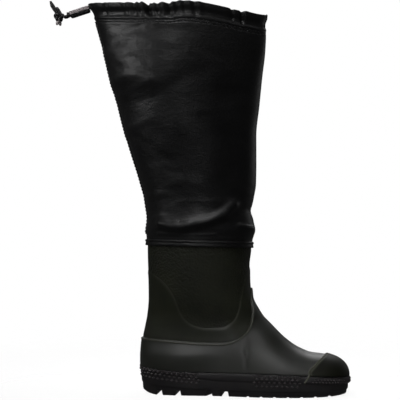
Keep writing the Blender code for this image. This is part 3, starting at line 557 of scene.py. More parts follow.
def coated_cloth():
    """Polyurethane-coated cloth, embossed as leather: black, a close grain that breaks up a satin
    sheen, and faint cross creases where it has been folded. The grain is drawn at 1.8 mm, about twice
    its real size, so that it shows."""
    made, tree, place = new_finish("coated_cloth")
    drawn = add(tree, "Mapping", {"Vector": place, "Scale": (1.0, 1.0, 2.0)})
    cloud = add(tree, "TexNoise", {"Vector": drawn.outputs[0], "Scale": per_mm(60), "Detail": 5.0})
    tone = add(tree, "MapRange", {"Value": cloud.outputs["Fac"], "From Min": 0.35, "From Max": 0.7})
    plain = add(tree, "Mix", {SHARE: tone.outputs[0], FIRST: linear("#09090a"), SECOND: linear("#111112")},
                data_type="RGBA")
    gloss = add(tree, "MapRange", {"Value": cloud.outputs["Fac"], "From Min": 0.3, "From Max": 0.7,
                                   "To Min": 0.38, "To Max": 0.48})
    grain = add(tree, "TexVoronoi", {"Vector": place, "Scale": per_mm(1.8), "Randomness": 1.0},
                feature="SMOOTH_F1")
    crease = add(tree, "TexNoise", {"Vector": drawn.outputs[0], "Scale": per_mm(16), "Detail": 4.0,
                                    "Roughness": 0.55, "Distortion": 0.4})
    fine = add(tree, "Math", {0: grain.outputs["Distance"], 1: -0.22, 2: crease.outputs["Fac"]},
               operation="MULTIPLY_ADD")
    bump = add(tree, "Bump", {"Height": fine.outputs[0], "Strength": 0.55, "Distance": 0.9 * MM})
    return finished(made, {"IOR": 1.5, "Specular IOR Level": 0.38, "Base Color": plain.outputs[MIXED],
                           "Roughness": gloss.outputs[0], "Normal": bump.outputs[0]})


def knitted_lining():
    """Fine nylon knit bonded to the inside: charcoal, soft, with rows of loops. The rows are drawn at
    2 mm, twice their real size, so that they show."""
    made, tree, place = new_finish("knitted_lining")
    rows = add(tree, "TexWave", {"Vector": place, "Scale": per_mm(2.0) / TURN, "Distortion": 1.5,
                                 "Detail": 2.0, "Detail Scale": 3.0}, bands_direction="Z")
    knit = add(tree, "Mix", {SHARE: rows.outputs["Fac"], FIRST: linear("#121214"), SECOND: linear("#242427")},
               data_type="RGBA")
    bump = add(tree, "Bump", {"Height": rows.outputs["Fac"], "Strength": 0.5, "Distance": 0.4 * MM})
    return finished(made, {"IOR": 1.5, "Roughness": 0.85, "Sheen Weight": 0.25, "Sheen Roughness": 0.5,
                           "Base Color": knit.outputs[MIXED], "Normal": bump.outputs[0]})


def pressed_felt():
    """Needled wool felt: grey, matt, flecked with darker and paler fibres."""
    made, tree, place = new_finish("pressed_felt")
    fibres = add(tree, "TexNoise", {"Vector": place, "Scale": per_mm(2.5), "Detail": 6.0, "Distortion": 1.2})
    fleck = add(tree, "MapRange", {"Value": fibres.outputs["Fac"], "From Min": 0.35, "From Max": 0.65})
    wool = add(tree, "Mix", {SHARE: fleck.outputs[0], FIRST: linear("#2b2b2c"), SECOND: linear("#4a4a4b")},
               data_type="RGBA")
    bump = add(tree, "Bump", {"Height": fibres.outputs["Fac"], "Strength": 0.6, "Distance": 0.8 * MM})
    return finished(made, {"IOR": 1.5, "Roughness": 0.95, "Sheen Weight": 0.3, "Sheen Roughness": 0.6,
                           "Base Color": wool.outputs[MIXED], "Normal": bump.outputs[0]})


def moulded_acetal(name, deep, pale):
    """Smooth moulded acetal with handling marks: an even gloss broken by fine scuffs."""
    made, tree, place = new_finish(name)
    scuff = add(tree, "TexNoise", {"Vector": place, "Scale": per_mm(3.0), "Detail": 5.0, "Distortion": 0.8})
    tone = add(tree, "Mix", {SHARE: scuff.outputs["Fac"], FIRST: linear(deep), SECOND: linear(pale)},
               data_type="RGBA")
    gloss = add(tree, "MapRange", {"Value": scuff.outputs["Fac"], "From Min": 0.3, "From Max": 0.7,
                                   "To Min": 0.26, "To Max": 0.42})
    bump = add(tree, "Bump", {"Height": scuff.outputs["Fac"], "Strength": 0.15, "Distance": 0.2 * MM})
    return finished(made, {"IOR": 1.48, "Base Color": tone.outputs[MIXED], "Roughness": gloss.outputs[0],
                           "Normal": bump.outputs[0]})


def braided_polyester():
    """Braided polyester: black, its crossing strands catch the light along their crowns. The strands
    themselves are shaped in the mesh."""
    made, tree, place = new_finish("braided_polyester")
    fibres = add(tree, "TexNoise", {"Vector": place, "Scale": per_mm(0.7), "Detail": 3.0})
    tone = add(tree, "Mix", {SHARE: fibres.outputs["Fac"], FIRST: linear("#060606"),
                             SECOND: linear("#161516")}, data_type="RGBA")
    bump = add(tree, "Bump", {"Height": fibres.outputs["Fac"], "Strength": 0.5, "Distance": 0.2 * MM})
    return finished(made, {"IOR": 1.5, "Roughness": 0.5, "Sheen Weight": 0.08, "Sheen Roughness": 0.4,
                           "Base Color": tone.outputs[MIXED], "Normal": bump.outputs[0]})


def twisted_thread():
    """Bonded nylon sewing thread: black, a little paler than the cloth, with a tight twist."""
    made, tree, place = new_finish("twisted_thread")
    twist = add(tree, "TexWave", {"Vector": place, "Scale": per_mm(0.8) / TURN}, bands_direction="DIAGONAL")
    tone = add(tree, "Mix", {SHARE: twist.outputs["Fac"], FIRST: linear("#0e0e0f"),
                             SECOND: linear("#232325")}, data_type="RGBA")
    return finished(made, {"IOR": 1.53, "Roughness": 0.45, "Base Color": tone.outputs[MIXED]})


# Making pieces


def new_object(name, points, faces):
    """An object in the scene, from points in millimetres."""
    mesh = bpy.data.meshes.new(name)
    mesh.from_pydata(to_row(points).tolist(), [], faces)
    made = bpy.data.objects.new(name, mesh)
    bpy.context.scene.collection.objects.link(made)
    return made


def make_piece(name, points, faces, finishes, nodes=(), values=(), finish_of=None, sharp=None):
    """One named piece of the boot, riding on its one body, in place of some of the part's nodes. Its
    finishes read the values at its points, finish_of says which finish each face has, and an edge that
    turns by more than sharp degrees stays hard."""
    made = new_object(name, points, faces)
    mesh = made.data
    for finish in finishes:
        mesh.materials.append(finish)
    mesh.shade_smooth()
    if sharp:
        mesh.set_sharp_from_angle(angle=math.radians(sharp))
    if finish_of is not None:
        mesh.polygons.foreach_set("material_index", finish_of)
    for key, field in values:
        mesh.attributes.new(key, "FLOAT", "POINT").data.foreach_set("value", np.asarray(field, float).ravel())
    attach(made, "root")
    if nodes:
        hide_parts(*nodes)
    return made


def ring_faces(count, first, second):
    """Faces between two rings of points that start at these indices."""
    return [(first + i, first + (i + 1) % count, second + (i + 1) % count, second + i) for i in range(count)]


def ladder_faces(count, first, upward):
    """Faces across a ring, from each point to the one opposite on the other side of the foot."""
    half = count // 2
    faces = [(0, 1, count - 1)]
    faces += [(i, i + 1, count - i - 1, count - i) for i in range(1, half - 1)]
    faces += [(half - 1, half, half + 1)]
    return [tuple(first + i for i in (f if upward else reversed(f))) for f in faces]


def wall_faces(rows, count):
    """An open wall of rings, from the first one to the last."""
    faces = []
    for k in range(rows - 1):
        faces += ring_faces(count, k * count, (k + 1) * count)
    return faces


def tube_faces(rows, count):
    """A closed wall: rings up the outside, then down the inside to the first one."""
    return wall_faces(rows, count) + ring_faces(count, (rows - 1) * count, 0)


def slab_faces(rows, count):
    """A solid of rings, closed across its underside and its top."""
    underside = ladder_faces(count, 0, upward=False)
    return underside + wall_faces(rows, count) + ladder_faces(count, (rows - 1) * count, upward=True)


def plate_faces(rows, columns):
    """A curved plate between two grids of points, closed along its four edges."""
    index = np.arange(rows * columns).reshape(rows, columns)
    back = index + rows * columns
    faces = []
    for r in range(rows - 1):
        for c in range(columns - 1):
            faces.append((index[r, c], index[r, c + 1], index[r + 1, c + 1], index[r + 1, c]))
            faces.append((back[r + 1, c], back[r + 1, c + 1], back[r, c + 1], back[r, c]))
    for r in range(rows - 1):
        faces.append((index[r + 1, 0], back[r + 1, 0], back[r, 0], index[r, 0]))
        faces.append((index[r, -1], back[r, -1], back[r + 1, -1], index[r + 1, -1]))
    for c in range(columns - 1):
        faces.append((index[0, c], back[0, c], back[0, c + 1], index[0, c + 1]))
        faces.append((index[-1, c + 1], back[-1, c + 1], back[-1, c], index[-1, c]))
    return [tuple(int(i) for i in f) for f in faces]


# A direction that no cord, thread or bead starts off along
ASKEW = (0.3, 1, 0.2)


def tube_along(route, radius, around, relief=None, taper=None):
    """Points and faces of a closed round tube along a line. Relief swells it, by the turn round it and
    the distance along it, and taper narrows it, by the share of its length."""
    route = np.asarray(route, float)
    count = len(route)
    ahead = unit(np.gradient(route, axis=0))
    side = np.cross(ahead[0], ASKEW)
    sides = []
    for direction in ahead:
        side = side - direction * np.dot(side, direction)
        side = side / np.linalg.norm(side)
        sides.append(side)
    sides = np.array(sides)
    ups = np.cross(ahead, sides)
    far = run_along(route)
    turn = even_angles(around)
    size = np.full((count, around), float(radius))
    if relief is not None:
        size = size + relief(turn[None, :], far[:, None])
    if taper is not None:
        size = size * taper(far / far[-1])[:, None]
    rings = (route[:, None] + size[..., None] * (np.cos(turn)[None, :, None] * sides[:, None]
                                                 + np.sin(turn)[None, :, None] * ups[:, None]))
    points = np.concatenate([rings.reshape(-1, 3), route[:1], route[-1:]])
    faces = wall_faces(count, around)
    last = (count - 1) * around
    faces += [(count * around, (i + 1) % around, i) for i in range(around)]
    faces += [(count * around + 1, last + i, last + (i + 1) % around) for i in range(around)]
    return points, faces


def joined(parts):
    """Several sets of points and faces as one."""
    points, faces, start = [], [], 0
    for some_points, some_faces in parts:
        points.append(np.asarray(some_points, float))
        faces += [tuple(i + start for i in f) for f in some_faces]
        start += len(some_points)
    return np.concatenate(points), faces


def smooth_route(points, steps):
    """A smooth line through a route's points."""
    points = [np.asarray(p, float) for p in points]
    ends = [2 * points[0] - points[1], *points, 2 * points[-1] - points[-2]]
    line = []
    for a, b, c, d in zip(ends, ends[1:], ends[2:], ends[3:]):
        for t in np.arange(steps) / steps:
            line.append(0.5 * (2 * b + (c - a) * t + (2 * a - 5 * b + 4 * c - d) * t**2
                               + (3 * b - a - 3 * c + d) * t**3))
    return np.array(line + [points[-1]])


# The rubber foot and shaft

FOOT_COLUMNS = 380
# The upper's rings: stretches of levels with the number of rings in each, and the steps of level at
# which more rings lie to both sides of the foot's raised edge. The inside has one ring in five.
RING_STRETCHES = ((0, 4.5, 46), (5.5, 6, 18), (6, 7, 100))
RINGS_BESIDE_EDGE = (0.004, 0.009, 0.015, 0.022, 0.031, 0.043, 0.058, 0.078, 0.105, 0.14, 0.19, 0.25, 0.32,
                     0.4)
INSIDE_RING_STEP = 5
# Points on a line that distances are taken from, or that the hem's stitches follow
LINE_POINTS = 2400
# The foot's raised edge: its rounding, the bead just below it and the shallow groove just above it
EDGE_ROUNDING = 0.7
BEAD_HEIGHT, BEAD_BREADTH, BEAD_BELOW = 0.6, 1.0, 1.3
EDGE_GROOVE_DEPTH, EDGE_GROOVE_BREADTH, EDGE_GROOVE_ABOVE = 0.3, 1.0, 1.4
# The ankle layer slopes away between these distances from the panel's border, and the pebbled grain
# comes in between those
ANKLE_EDGE, GRAIN_EDGE = (-2.5, 0.8), (1, 3)
BORDER_HEIGHT, BORDER_BREADTH = 0.35, 0.8
# An upright crease in the foot's side, which comes in below the raised edge and over the sole
MOULD_CREASE_X, MOULD_CREASE_DEPTH, MOULD_CREASE_BREADTH = 142.0, 0.6, 2.4
MOULD_CREASE_BELOW_EDGE, MOULD_CREASE_BOTTOM, MOULD_CREASE_TOP = (2, 9), (30, 40), 100
# How strongly a highlight is painted along the foot's raised edge, and the border's share of that. The
# border's painted highlight is weakest on the outer ankle, by this much less.
EDGE_HIGHLIGHT, BORDER_HIGHLIGHT, BORDER_HIGHLIGHT_LESS = 0.6, 0.4, 0.3
BORDER_PLAIN_X, BORDER_PLAIN_BREADTH = 30.0, 26.0
# Wax has been rubbed in up to this height on the shaft, and fades out over the next stretch
WAX_FULL, WAX_END = 82.0, 110.0
# Over the instep the wax stops lower down by this much, which comes in and goes out over two stretches
VAMP_WAX_DROP, VAMP_WAX_IN, VAMP_WAX_OUT = 34.0, (112, 142), (222, 262)

# The fine raised border under the shaft's pebbled panel: its height at an angle round from the front
PanelBorder = namedtuple("PanelBorder", "degrees z")
PANEL_BORDER = tuple(PanelBorder(d, z) for d, z in (
    (0, 163), (9, 160), (22, 146), (30, 127), (36, 106), (42, 93), (54, 86), (74, 85.5), (91, 88.5),
    (104, 96), (111, 107), (117, 125), (126, 140), (138, 150), (158, 157), (180, 160)))


def upper_levels():
    """Levels of the upper's rings, close together beside the foot's raised edge."""
    levels = {FOOT_EDGE}
    for stretch in RING_STRETCHES:
        levels |= set(np.linspace(*stretch))
    levels |= {FOOT_EDGE + side * step for step in RINGS_BESIDE_EDGE for side in (-1, 1)}
    return np.array(sorted(levels))


def distance_from(points, line):
    """How far points lie from the nearest point of a line."""
    tree = kdtree.KDTree(len(line))
    for i, point in enumerate(line):
        tree.insert(point, i)
    tree.balance()
    return np.array([tree.find(p)[2] for p in points.reshape(-1, 3)]).reshape(points.shape[:-1])


def from_foot_edge(points, level):
    """How far points lie from the foot's raised edge, over 0 above it and under 0 below."""
    away = distance_from(points, upper_point(np.linspace(0, TURN, LINE_POINTS), float(FOOT_EDGE)))
    return np.where(level > FOOT_EDGE, away, -away)


def from_panel_border(points, angle, level):
    """How far points lie from the panel's border, over 0 above it and under 0 below."""
    height = read_table(PANEL_BORDER, "degrees", "z", np.degrees(from_front(angle)))
    crossing = [np.interp(h, column, level.ravel()) for h, column in zip(height.ravel(), points[..., 2].T)]
    finer = np.linspace(0, TURN, LINE_POINTS)
    away = distance_from(points, upper_point(finer, np.interp(finer, angle.ravel(), crossing, period=TURN)))
    return np.where(points[..., 2] > height, away, -away)


def upper_relief(to_foot, to_panel, x, z):
    """How far the upper's two layers, their beads and the crease stand out from its plain form."""
    raised = FOOT_LAYER * (1 - smooth_step(to_foot, -EDGE_ROUNDING, EDGE_ROUNDING))
    raised += (BEAD_HEIGHT * bell(to_foot + BEAD_BELOW, BEAD_BREADTH)
               - EDGE_GROOVE_DEPTH * bell(to_foot - EDGE_GROOVE_ABOVE, EDGE_GROOVE_BREADTH))
    raised += ANKLE_LAYER * (1 - smooth_step(to_panel, *ANKLE_EDGE))
    raised += BORDER_HEIGHT * bell(to_panel, BORDER_BREADTH)
    on_side = smooth_step(-to_foot, *MOULD_CREASE_BELOW_EDGE) * smooth_step(z, *MOULD_CREASE_BOTTOM)
    crease = MOULD_CREASE_DEPTH * bell(x - MOULD_CREASE_X, MOULD_CREASE_BREADTH)
    return raised - crease * on_side * (z < MOULD_CREASE_TOP)


def painted_edge_highlight(to_foot, to_panel, x):
    """How strongly a highlight is painted on the upper along its raised edge and the panel's border."""
    border = BORDER_HIGHLIGHT - BORDER_HIGHLIGHT_LESS * bell(x - BORDER_PLAIN_X, BORDER_PLAIN_BREADTH)
    highlight = bell(to_foot + BEAD_BELOW, BEAD_BREADTH) + border * bell(to_panel, BORDER_BREADTH)
    return np.clip(highlight, 0, 1) * EDGE_HIGHLIGHT


def wax_film(x, z):
    """How much wax there is: all of it low down, and less far up over the instep than beside it."""
    lower = VAMP_WAX_DROP * smooth_step(x, *VAMP_WAX_IN)
    lower *= 1 - smooth_step(x, *VAMP_WAX_OUT)
    return 1 - smooth_step(z + lower, WAX_FULL, WAX_END)


def build_rubber_upper(shaft_rubber, foot_rubber, lining):
    """The moulded foot and short shaft, with its two raised layers, their beads and the lining."""
    angle = even_angles(FOOT_COLUMNS)[None, :]
    level = upper_levels()[:, None]
    plain = upper_point(angle, level)
    along = np.roll(plain, -1, axis=1) - np.roll(plain, 1, axis=1)
    normal = unit(np.cross(along, np.gradient(plain, axis=0)))
    to_foot = from_foot_edge(plain, level)
    to_panel = from_panel_border(plain, angle, level)
    x, z = plain[..., 0], plain[..., 2]
    outside = plain + upper_relief(to_foot, to_panel, x, z)[..., None] * normal
    inner_rows = np.unique(np.append(np.arange(0, len(level), INSIDE_RING_STEP), len(level) - 1))[::-1]
    inside = plain[inner_rows] - RUBBER_WALL * normal[inner_rows]
    # The edges at the sole and at the collar stay level from the outside to the inside
    outside[0, :, 2] = plain[0, :, 2]
    outside[-1, :, 2] = plain[-1, :, 2]
    inside[0, :, 2] = plain[-1, :, 2]
    inside[-1, :, 2] = plain[0, :, 2]
    points = np.concatenate([outside.reshape(-1, 3), inside.reshape(-1, 3)])
    rows = len(level) + len(inner_rows)
    row = np.arange(rows)
    finish = np.where(row >= len(level), 2, np.where(row < int((level < FOOT_EDGE).sum()), 1, 0))
    pebbled = np.zeros(len(points))
    pebbled[: to_panel.size] = smooth_step(to_panel, *GRAIN_EDGE).ravel()
    # A highlight is painted along the foot's raised edge and, more weakly, along the panel's border
    painted_highlight = np.zeros(len(points))
    painted_highlight[: to_foot.size] = painted_edge_highlight(to_foot, to_panel, x).ravel()
    waxed = wax_film(points[:, 0], points[:, 2])
    make_piece("rubber_upper", points, tube_faces(rows, FOOT_COLUMNS), (shaft_rubber, foot_rubber, lining),
               ("upper",), (("pebbled", pebbled), ("painted_highlight", painted_highlight), ("waxed", waxed)),
               np.repeat(finish, FOOT_COLUMNS))


CAP_COLUMNS, CAP_ROWS, CAP_ROW_CROWDING = 180, 70, 0.85
# How nearly the cap's edge comes down to the sole at its ends: all the way at 1
CAP_EDGE_FALL = 0.985
# The cap's rim is rounded, from just inside the foot's layer, and has a low roll along it, with a painted
# highlight
CAP_ROUNDING, CAP_LAP, CAP_BACK = 2.0, 0.2, 0.5
CAP_ROLL_HEIGHT, CAP_ROLL_IN, CAP_ROLL_BREADTH = 0.35, 2.4, 1.3
CAP_HIGHLIGHT, CAP_HIGHLIGHT_IN, CAP_HIGHLIGHT_BREADTH = 0.7, 2.2, 1.2
# The bead along the rim, whose ends run down the sole's side between two heights
CAP_BEAD_STAND, CAP_BEAD_WIDTH, CAP_BEAD_AROUND, CAP_BEAD_POINTS = 3.3, 2.2, 12, 241
BEAD_END_HEIGHTS, BEAD_END_PROUD, BEAD_END_POINTS = (1.95, 1.06), 0.5, 24


def cap_edge(across):
    """The level of the cap's edge, from one end (-1) over the top to the other (1)."""
    return TOE_CAP_TOP * np.sqrt(1 - CAP_EDGE_FALL * across**2)


def bead_end(side):
    """The line of the bead down one side of the sole."""
    heights = np.linspace(*BEAD_END_HEIGHTS, BEAD_END_POINTS)
    return np.array([sole_side(np.radians([side * bumper_edge(h)]), h, BEAD_END_PROUD, 1)[0]
                     for h in heights])


def cap_bead():
    """The raised bead along the cap's edge, from the sole's side over the top to the other side."""
    across = np.linspace(-1, 1, CAP_BEAD_POINTS)
    angle = across * math.radians(TOE_CAP_ANGLE)
    level = cap_edge(across)
    on_cap = upper_point(angle, level) + CAP_BEAD_STAND * upper_normal(angle, level)
    route = np.concatenate([bead_end(-1)[::-1], on_cap, bead_end(1)])
    return tube_along(route, CAP_BEAD_WIDTH / 2, CAP_BEAD_AROUND)


def build_rubber_toe_cap(rubber):
    """The second layer over the toe, with a rounded edge that laps onto the foot."""
    across = np.linspace(-1, 1, CAP_COLUMNS + 1)
    level = np.linspace(0, 1, CAP_ROWS + 1)[:, None] ** CAP_ROW_CROWDING * cap_edge(across)[None, :]
    angle = np.broadcast_to((across * math.radians(TOE_CAP_ANGLE))[None, :], level.shape)
    plain = upper_point(angle, level)
    normal = upper_normal(angle, level)
    rim = np.concatenate([plain[-1], plain[:, 0], plain[:, -1]])
    away = distance_from(plain, rim)
    rounding = np.sqrt(1 - (1 - np.clip(away / CAP_ROUNDING, 0, 1)) ** 2)
    stand = ANKLE_LAYER + FOOT_LAYER - CAP_LAP + (TOE_CAP_STAND + CAP_LAP) * rounding
    stand += CAP_ROLL_HEIGHT * bell(away - CAP_ROLL_IN, CAP_ROLL_BREADTH)
    outer = plain + stand[..., None] * normal
    inner = plain + (ANKLE_LAYER + FOOT_LAYER - CAP_BACK) * normal
    cap = np.concatenate([outer.reshape(-1, 3), inner.reshape(-1, 3)])
    points, faces = joined([(cap, plate_faces(*level.shape)), cap_bead()])
    # A highlight is painted along the cap's roll and all over the bead
    painted_highlight = np.ones(len(points))
    painted_highlight[: len(cap)] = 0
    painted_highlight[: away.size] = bell(away - CAP_HIGHLIGHT_IN, CAP_HIGHLIGHT_BREADTH).ravel() * CAP_HIGHLIGHT
    make_piece("rubber_toe_cap", points, faces, (rubber,), ("toe_cap",),
               (("painted_highlight", painted_highlight),))


# The sole

SOLE_COLUMNS = 416
# An edge of a cut piece stays hard where it turns by more than this many degrees
CUT_EDGE_TURN = 32


def groove_prism(groove, half_length, ceiling, run_out=0.0):
    """A block under the sole, straight or swept back from the middle to both edges."""
    edges = [(-half_length, 0, run_out), (0, groove.sweep, 0), (half_length, 0, run_out)]
    points = []
    for z, drop in ((-LUG_DEPTH, 0), (ceiling, 1)):
        half = groove.width / 2 + GROOVE_TAPER * (ceiling / 2 - z)
        points += [(groove.x + half + sweep, y, z - drop * lower) for y, sweep, lower in edges]
        points += [(groove.x - half + sweep, y, z - drop * lower) for y, sweep, lower in reversed(edges)]
    count = len(points) // 2
    underside = [(5, 4, 1, 0), (4, 3, 2, 1)]
    faces = underside + [tuple(count + i for i in reversed(face)) for face in underside]
    return new_object("groove", points, faces + ring_faces(count, 0, count))


def tread_prisms():
    """A block for each groove of the tread."""
    forefoot = [FOREFOOT_GROOVE._replace(x=FOREFOOT_GROOVE.x + i * FOREFOOT_PITCH)
                for i in range(FOREFOOT_GROOVES)]
    prisms = []
    for grooves, depth, run_out in ((HEEL_GROOVES, LUG_DEPTH, 0),
                                    (forefoot, FOREFOOT_DEPTH, FOREFOOT_RUN_OUT)):
        for groove in grooves:
            ceiling = float(tread_height(np.array(groove.x))) + depth
            prisms.append(groove_prism(groove, GROOVE_HALF_LENGTH, ceiling, run_out))
    start, end = CENTRE_GROOVE_ENDS
    middle = Groove(x=(start + end) / 2, width=end - start, sweep=0)
    prisms.append(groove_prism(middle, CENTRE_GROOVE_WIDTH / 2, CENTRE_GROOVE_DEPTH))
    return prisms


def cut_away(piece, cutters):
    """Cuts blocks out of a piece for good, and removes the blocks."""
    for cutter in cutters:
        cut = piece.modifiers.new("cut", "BOOLEAN")
        cut.object = cutter
        cut.operation = "DIFFERENCE"
        cut.solver = "EXACT"
    graph = bpy.context.evaluated_depsgraph_get()
    mesh = bpy.data.meshes.new_from_object(piece.evaluated_get(graph))
    piece.modifiers.clear()
    piece.data = mesh
    for cutter in cutters:
        bpy.data.objects.remove(cutter)
    mesh.shade_smooth()
    mesh.set_sharp_from_angle(angle=math.radians(CUT_EDGE_TURN))


def build_rubber_sole(rubber):
    """The cupped sole with its stepped and rounded side, cut by grooves into lugs."""
    angle = even_angles(SOLE_COLUMNS)
    rings = [sole_side(angle, s.height, s.proud, s.bumper) for s in SIDE_STEPS]
    top = level_height(LEVELS[0], angle) - FIT_GAP
    rings.append(np.column_stack([plan_outline(angle, np.full(SOLE_COLUMNS, -RUBBER_WALL)), top]))
    bed = plan_outline(angle, np.full(SOLE_COLUMNS, -FOOTBED_INSET))
    rings.append(np.column_stack([bed, read_table(FOOTBED, "x", "z", bed[:, 0])]))
    sole = make_piece("rubber_sole", np.concatenate(rings), slab_faces(len(rings), SOLE_COLUMNS), (rubber,),
                      ("outsole",))
    cut_away(sole, tread_prisms())


# Rows of small studs round the sole's side: the height on it, how proud it is there, the stretch that the
# row takes in degrees round from the front, its shift in spacings, the spacing and the size of a stud
StudRow = namedtuple("StudRow", "height proud start end shift spacing long tall stand")
STUD_SIZE = dict(spacing=6.4, long=5.6, tall=4.2, stand=1.4)
TOE_STUD_SIZE = dict(spacing=4.2, long=4.0, tall=3.6, stand=1.1)
# The steps of a stud: its share of the full size, and how far it stands out
STUD_ROOT, STUD_SHOULDER, STUD_CROWN_SHARE, STUD_EDGE_TURN = (1.0, -0.4), (0.96, 0.05), 0.22, 20
STUD_LINE_POINTS = 1600
# Each row's height, how proud the side is there, and its shift
HEEL_STUDS = ((1.7, 0.6, 0.0), (1.2, 0.7, 0.5), (0.9, -0.3, 0.0), (0.73, -0.42, 0.5))
FOREFOOT_STUDS = ((1.76, 0.45, 0.0), (1.4, 0.7, 0.5), (1.02, 0.0, 0.0), (0.76, -0.4, 0.5))
TOE_STUDS = ((1.22, 0.7, 0.0), (1.54, 0.7, 0.5))
STUD_ROWS = tuple(
    StudRow(height=height, proud=proud, start=start, end=end, shift=shift, **size)
    for rows, start, end, size in ((HEEL_STUDS, 110, 180, STUD_SIZE), (FOREFOOT_STUDS, 54, 81, STUD_SIZE),
                                   (TOE_STUDS, 0, 49, TOE_STUD_SIZE))
    for height, proud, shift in rows
)


def stud_row(row, side):
    """The studs of one row on one side of the sole, each one a small flat-topped diamond."""
    angle = np.radians(np.linspace(row.start, row.end, STUD_LINE_POINTS)) * side
    bumper = 1 if row.end <= TOE_CAP_ANGLE else 0
    line = sole_side(angle, row.height, row.proud, bumper * (row.height > 1))
    far = run_along(line)
    places = np.arange(row.shift * row.spacing + 0.5 * row.spacing, far[-1] - 0.4 * row.spacing, row.spacing)
    centres = read_along(places, far, line)
    along = unit(read_along(places, far, np.gradient(line, axis=0)))
    out = unit(np.cross(along, (0, 0, 1))) * side
    up = np.cross(out, along) * side
    corners = ((1, 0), (0, 1), (-1, 0), (0, -1))
    points, faces = [], []
    for centre, a, o, u in zip(centres, along * side, out, up):
        start = len(points)
        for share, stand in (STUD_ROOT, STUD_SHOULDER, (STUD_CROWN_SHARE, row.stand)):
            middle = centre + o * stand
            points += [middle + a * p * share * row.long / 2 + u * q * share * row.tall / 2
                       for p, q in corners]
        faces.append(tuple(start + i for i in (3, 2, 1, 0)))
        faces += ring_faces(4, start, start + 4)
        faces += ring_faces(4, start + 4, start + 8)
        faces.append(tuple(start + 8 + i for i in range(4)))
    return np.array(points), faces


def build_sole_studs(rubber):
    """All the studs as one piece, with a highlight painted on their crowns."""
    points, faces = joined([stud_row(row, side) for row in STUD_ROWS for side in (-1, 1)])
    # A highlight is painted on each stud's crown, its last four points
    painted_highlight = np.tile(np.repeat((0.0, 0.0, 1.0), 4), len(points) // 12)
    make_piece("sole_studs", points, faces, (rubber,), (), (("painted_highlight", painted_highlight),),
               sharp=STUD_EDGE_TURN)


INSOLE_COLUMNS = 240
# The insole's rounded edge: how far each ring is set in, and its height
INSOLE_EDGE = ((0.8, 0), (0.2, 0.3), (0, 1.0), (0, 2.5), (0.3, 3.2), (1.0, INSOLE_THICKNESS))


def build_felt_insole(felt):
    """The loose insole, with a softly rounded edge."""
    angle = even_angles(INSOLE_COLUMNS)
    rings = []
    for inset, rise in INSOLE_EDGE:
        outline = plan_outline(angle, np.full(INSOLE_COLUMNS, -FOOTBED_INSET - INSOLE_MARGIN - inset))
        height = read_table(FOOTBED, "x", "z", outline[:, 0]) + FIT_GAP + rise
        rings.append(np.column_stack([outline, height]))
    make_piece("felt_insole", np.concatenate(rings), slab_faces(len(rings), INSOLE_COLUMNS), (felt,),
               ("insole",))


# The soft shaft

GAITER_COLUMNS = 490
# Stretches of height up the soft shaft with the number of rings in each. The inside has one ring in six.
GAITER_STRETCHES = ((GAITER_BOTTOM, 250, 52), (250, HEM_SEAM - 6, 72), (HEM_SEAM - 6, SHAFT_HEIGHT, 40))
INSIDE_HEIGHT_STEP, RIM_ROLL_POINTS = 6, 7
# The cloth is double from just over the hem's seam
HEM_DOUBLE = (HEM_SEAM - 1, HEM_SEAM + 2)
# The rings' tilt starts to turn to the rim's this far over the collar
TILT_ABOVE_COLLAR = 5


def ring_lift(angle, z):
    """How far a ring of the soft shaft is tilted: with the collar at the bottom, to the rim at the top."""
    ends = np.where(np.cos(angle) > 0, RIM_FRONT, RIM_BACK)
    rim = RIM_SIDE + (ends - RIM_SIDE) * np.abs(np.cos(angle)) ** RIM_SHARPNESS
    collar = -COLLAR_SLANT * np.cos(angle)
    return collar + (rim - collar) * smooth_step(z, COLLAR_HEIGHT + TILT_ABOVE_COLLAR, SHAFT_HEIGHT)


def line_distance(x, z, line):
    """How far points lie from a line on the shaft's side, and how squarely over (1) or under it (-1)."""
    best = np.full(x.shape, np.inf)
    over = np.zeros(x.shape)
    for (x0, z0), (x1, z1) in zip(line, line[1:]):
        length = math.hypot(x1 - x0, z1 - z0)
        share = np.clip(((x - x0) * (x1 - x0) + (z - z0) * (z1 - z0)) / length**2, 0, 1)
        off_x, off_z = x - x0 - share * (x1 - x0), z - z0 - share * (z1 - z0)
        away = np.hypot(off_x, off_z)
        nearer = away < best
        best = np.where(nearer, away, best)
        side = (off_z * (x1 - x0) - off_x * (z1 - z0)) * np.sign(x1 - x0 if x1 != x0 else 1)
        over = np.where(nearer, side / (length * np.maximum(away, 1e-6)), over)
    return best, over


def small_creases():
    """Shallow creases, mostly level, scattered over both sides from a fixed seed."""
    random = np.random.default_rng(CREASE_SEED)
    folds = []
    for _ in range(SMALL_CREASES):
        side = random.choice((OUTER, INNER))
        z = random.uniform(*CREASE_Z)
        x = random.uniform(read_table(GAITER_SECTIONS, "z", "back", z) + CREASE_FROM_BACK, CREASE_FRONT)
        slope = random.normal(0, CREASE_SLOPE)
        reach = random.uniform(*CREASE_REACH)
        out = random.choice((-1, 1)) * random.uniform(*CREASE_OUT)
        middle = (x, z + random.normal(0, CREASE_BEND))
        line = ((x - reach, z - reach * slope), middle, (x + reach, z + reach * slope))
        above, below = (random.uniform(*CREASE_BREADTH) for _ in range(2))
        folds.append(SideFold(side, line, out, above, below))
    return folds


def pull_wrinkles():
    """Short level wrinkles under the hem at the back of the outer side, from a fixed seed."""
    random = np.random.default_rng(WRINKLE_SEED)
    folds = []
    for _ in range(PULL_WRINKLES):
        z = random.uniform(*WRINKLE_Z)
        x = random.uniform(*WRINKLE_X)
        reach = random.uniform(*WRINKLE_REACH)
        slope = random.normal(*WRINKLE_SLOPE)
        out = random.choice((-1, 1)) * random.uniform(*WRINKLE_OUT)
        line = ((x - reach, z - reach * slope), (x + reach, z + reach * slope))
        above, below = (random.uniform(*WRINKLE_BREADTH) for _ in range(2))
        folds.append(SideFold(OUTER, line, out, above, below))
    return folds


CREASES = small_creases() + pull_wrinkles()
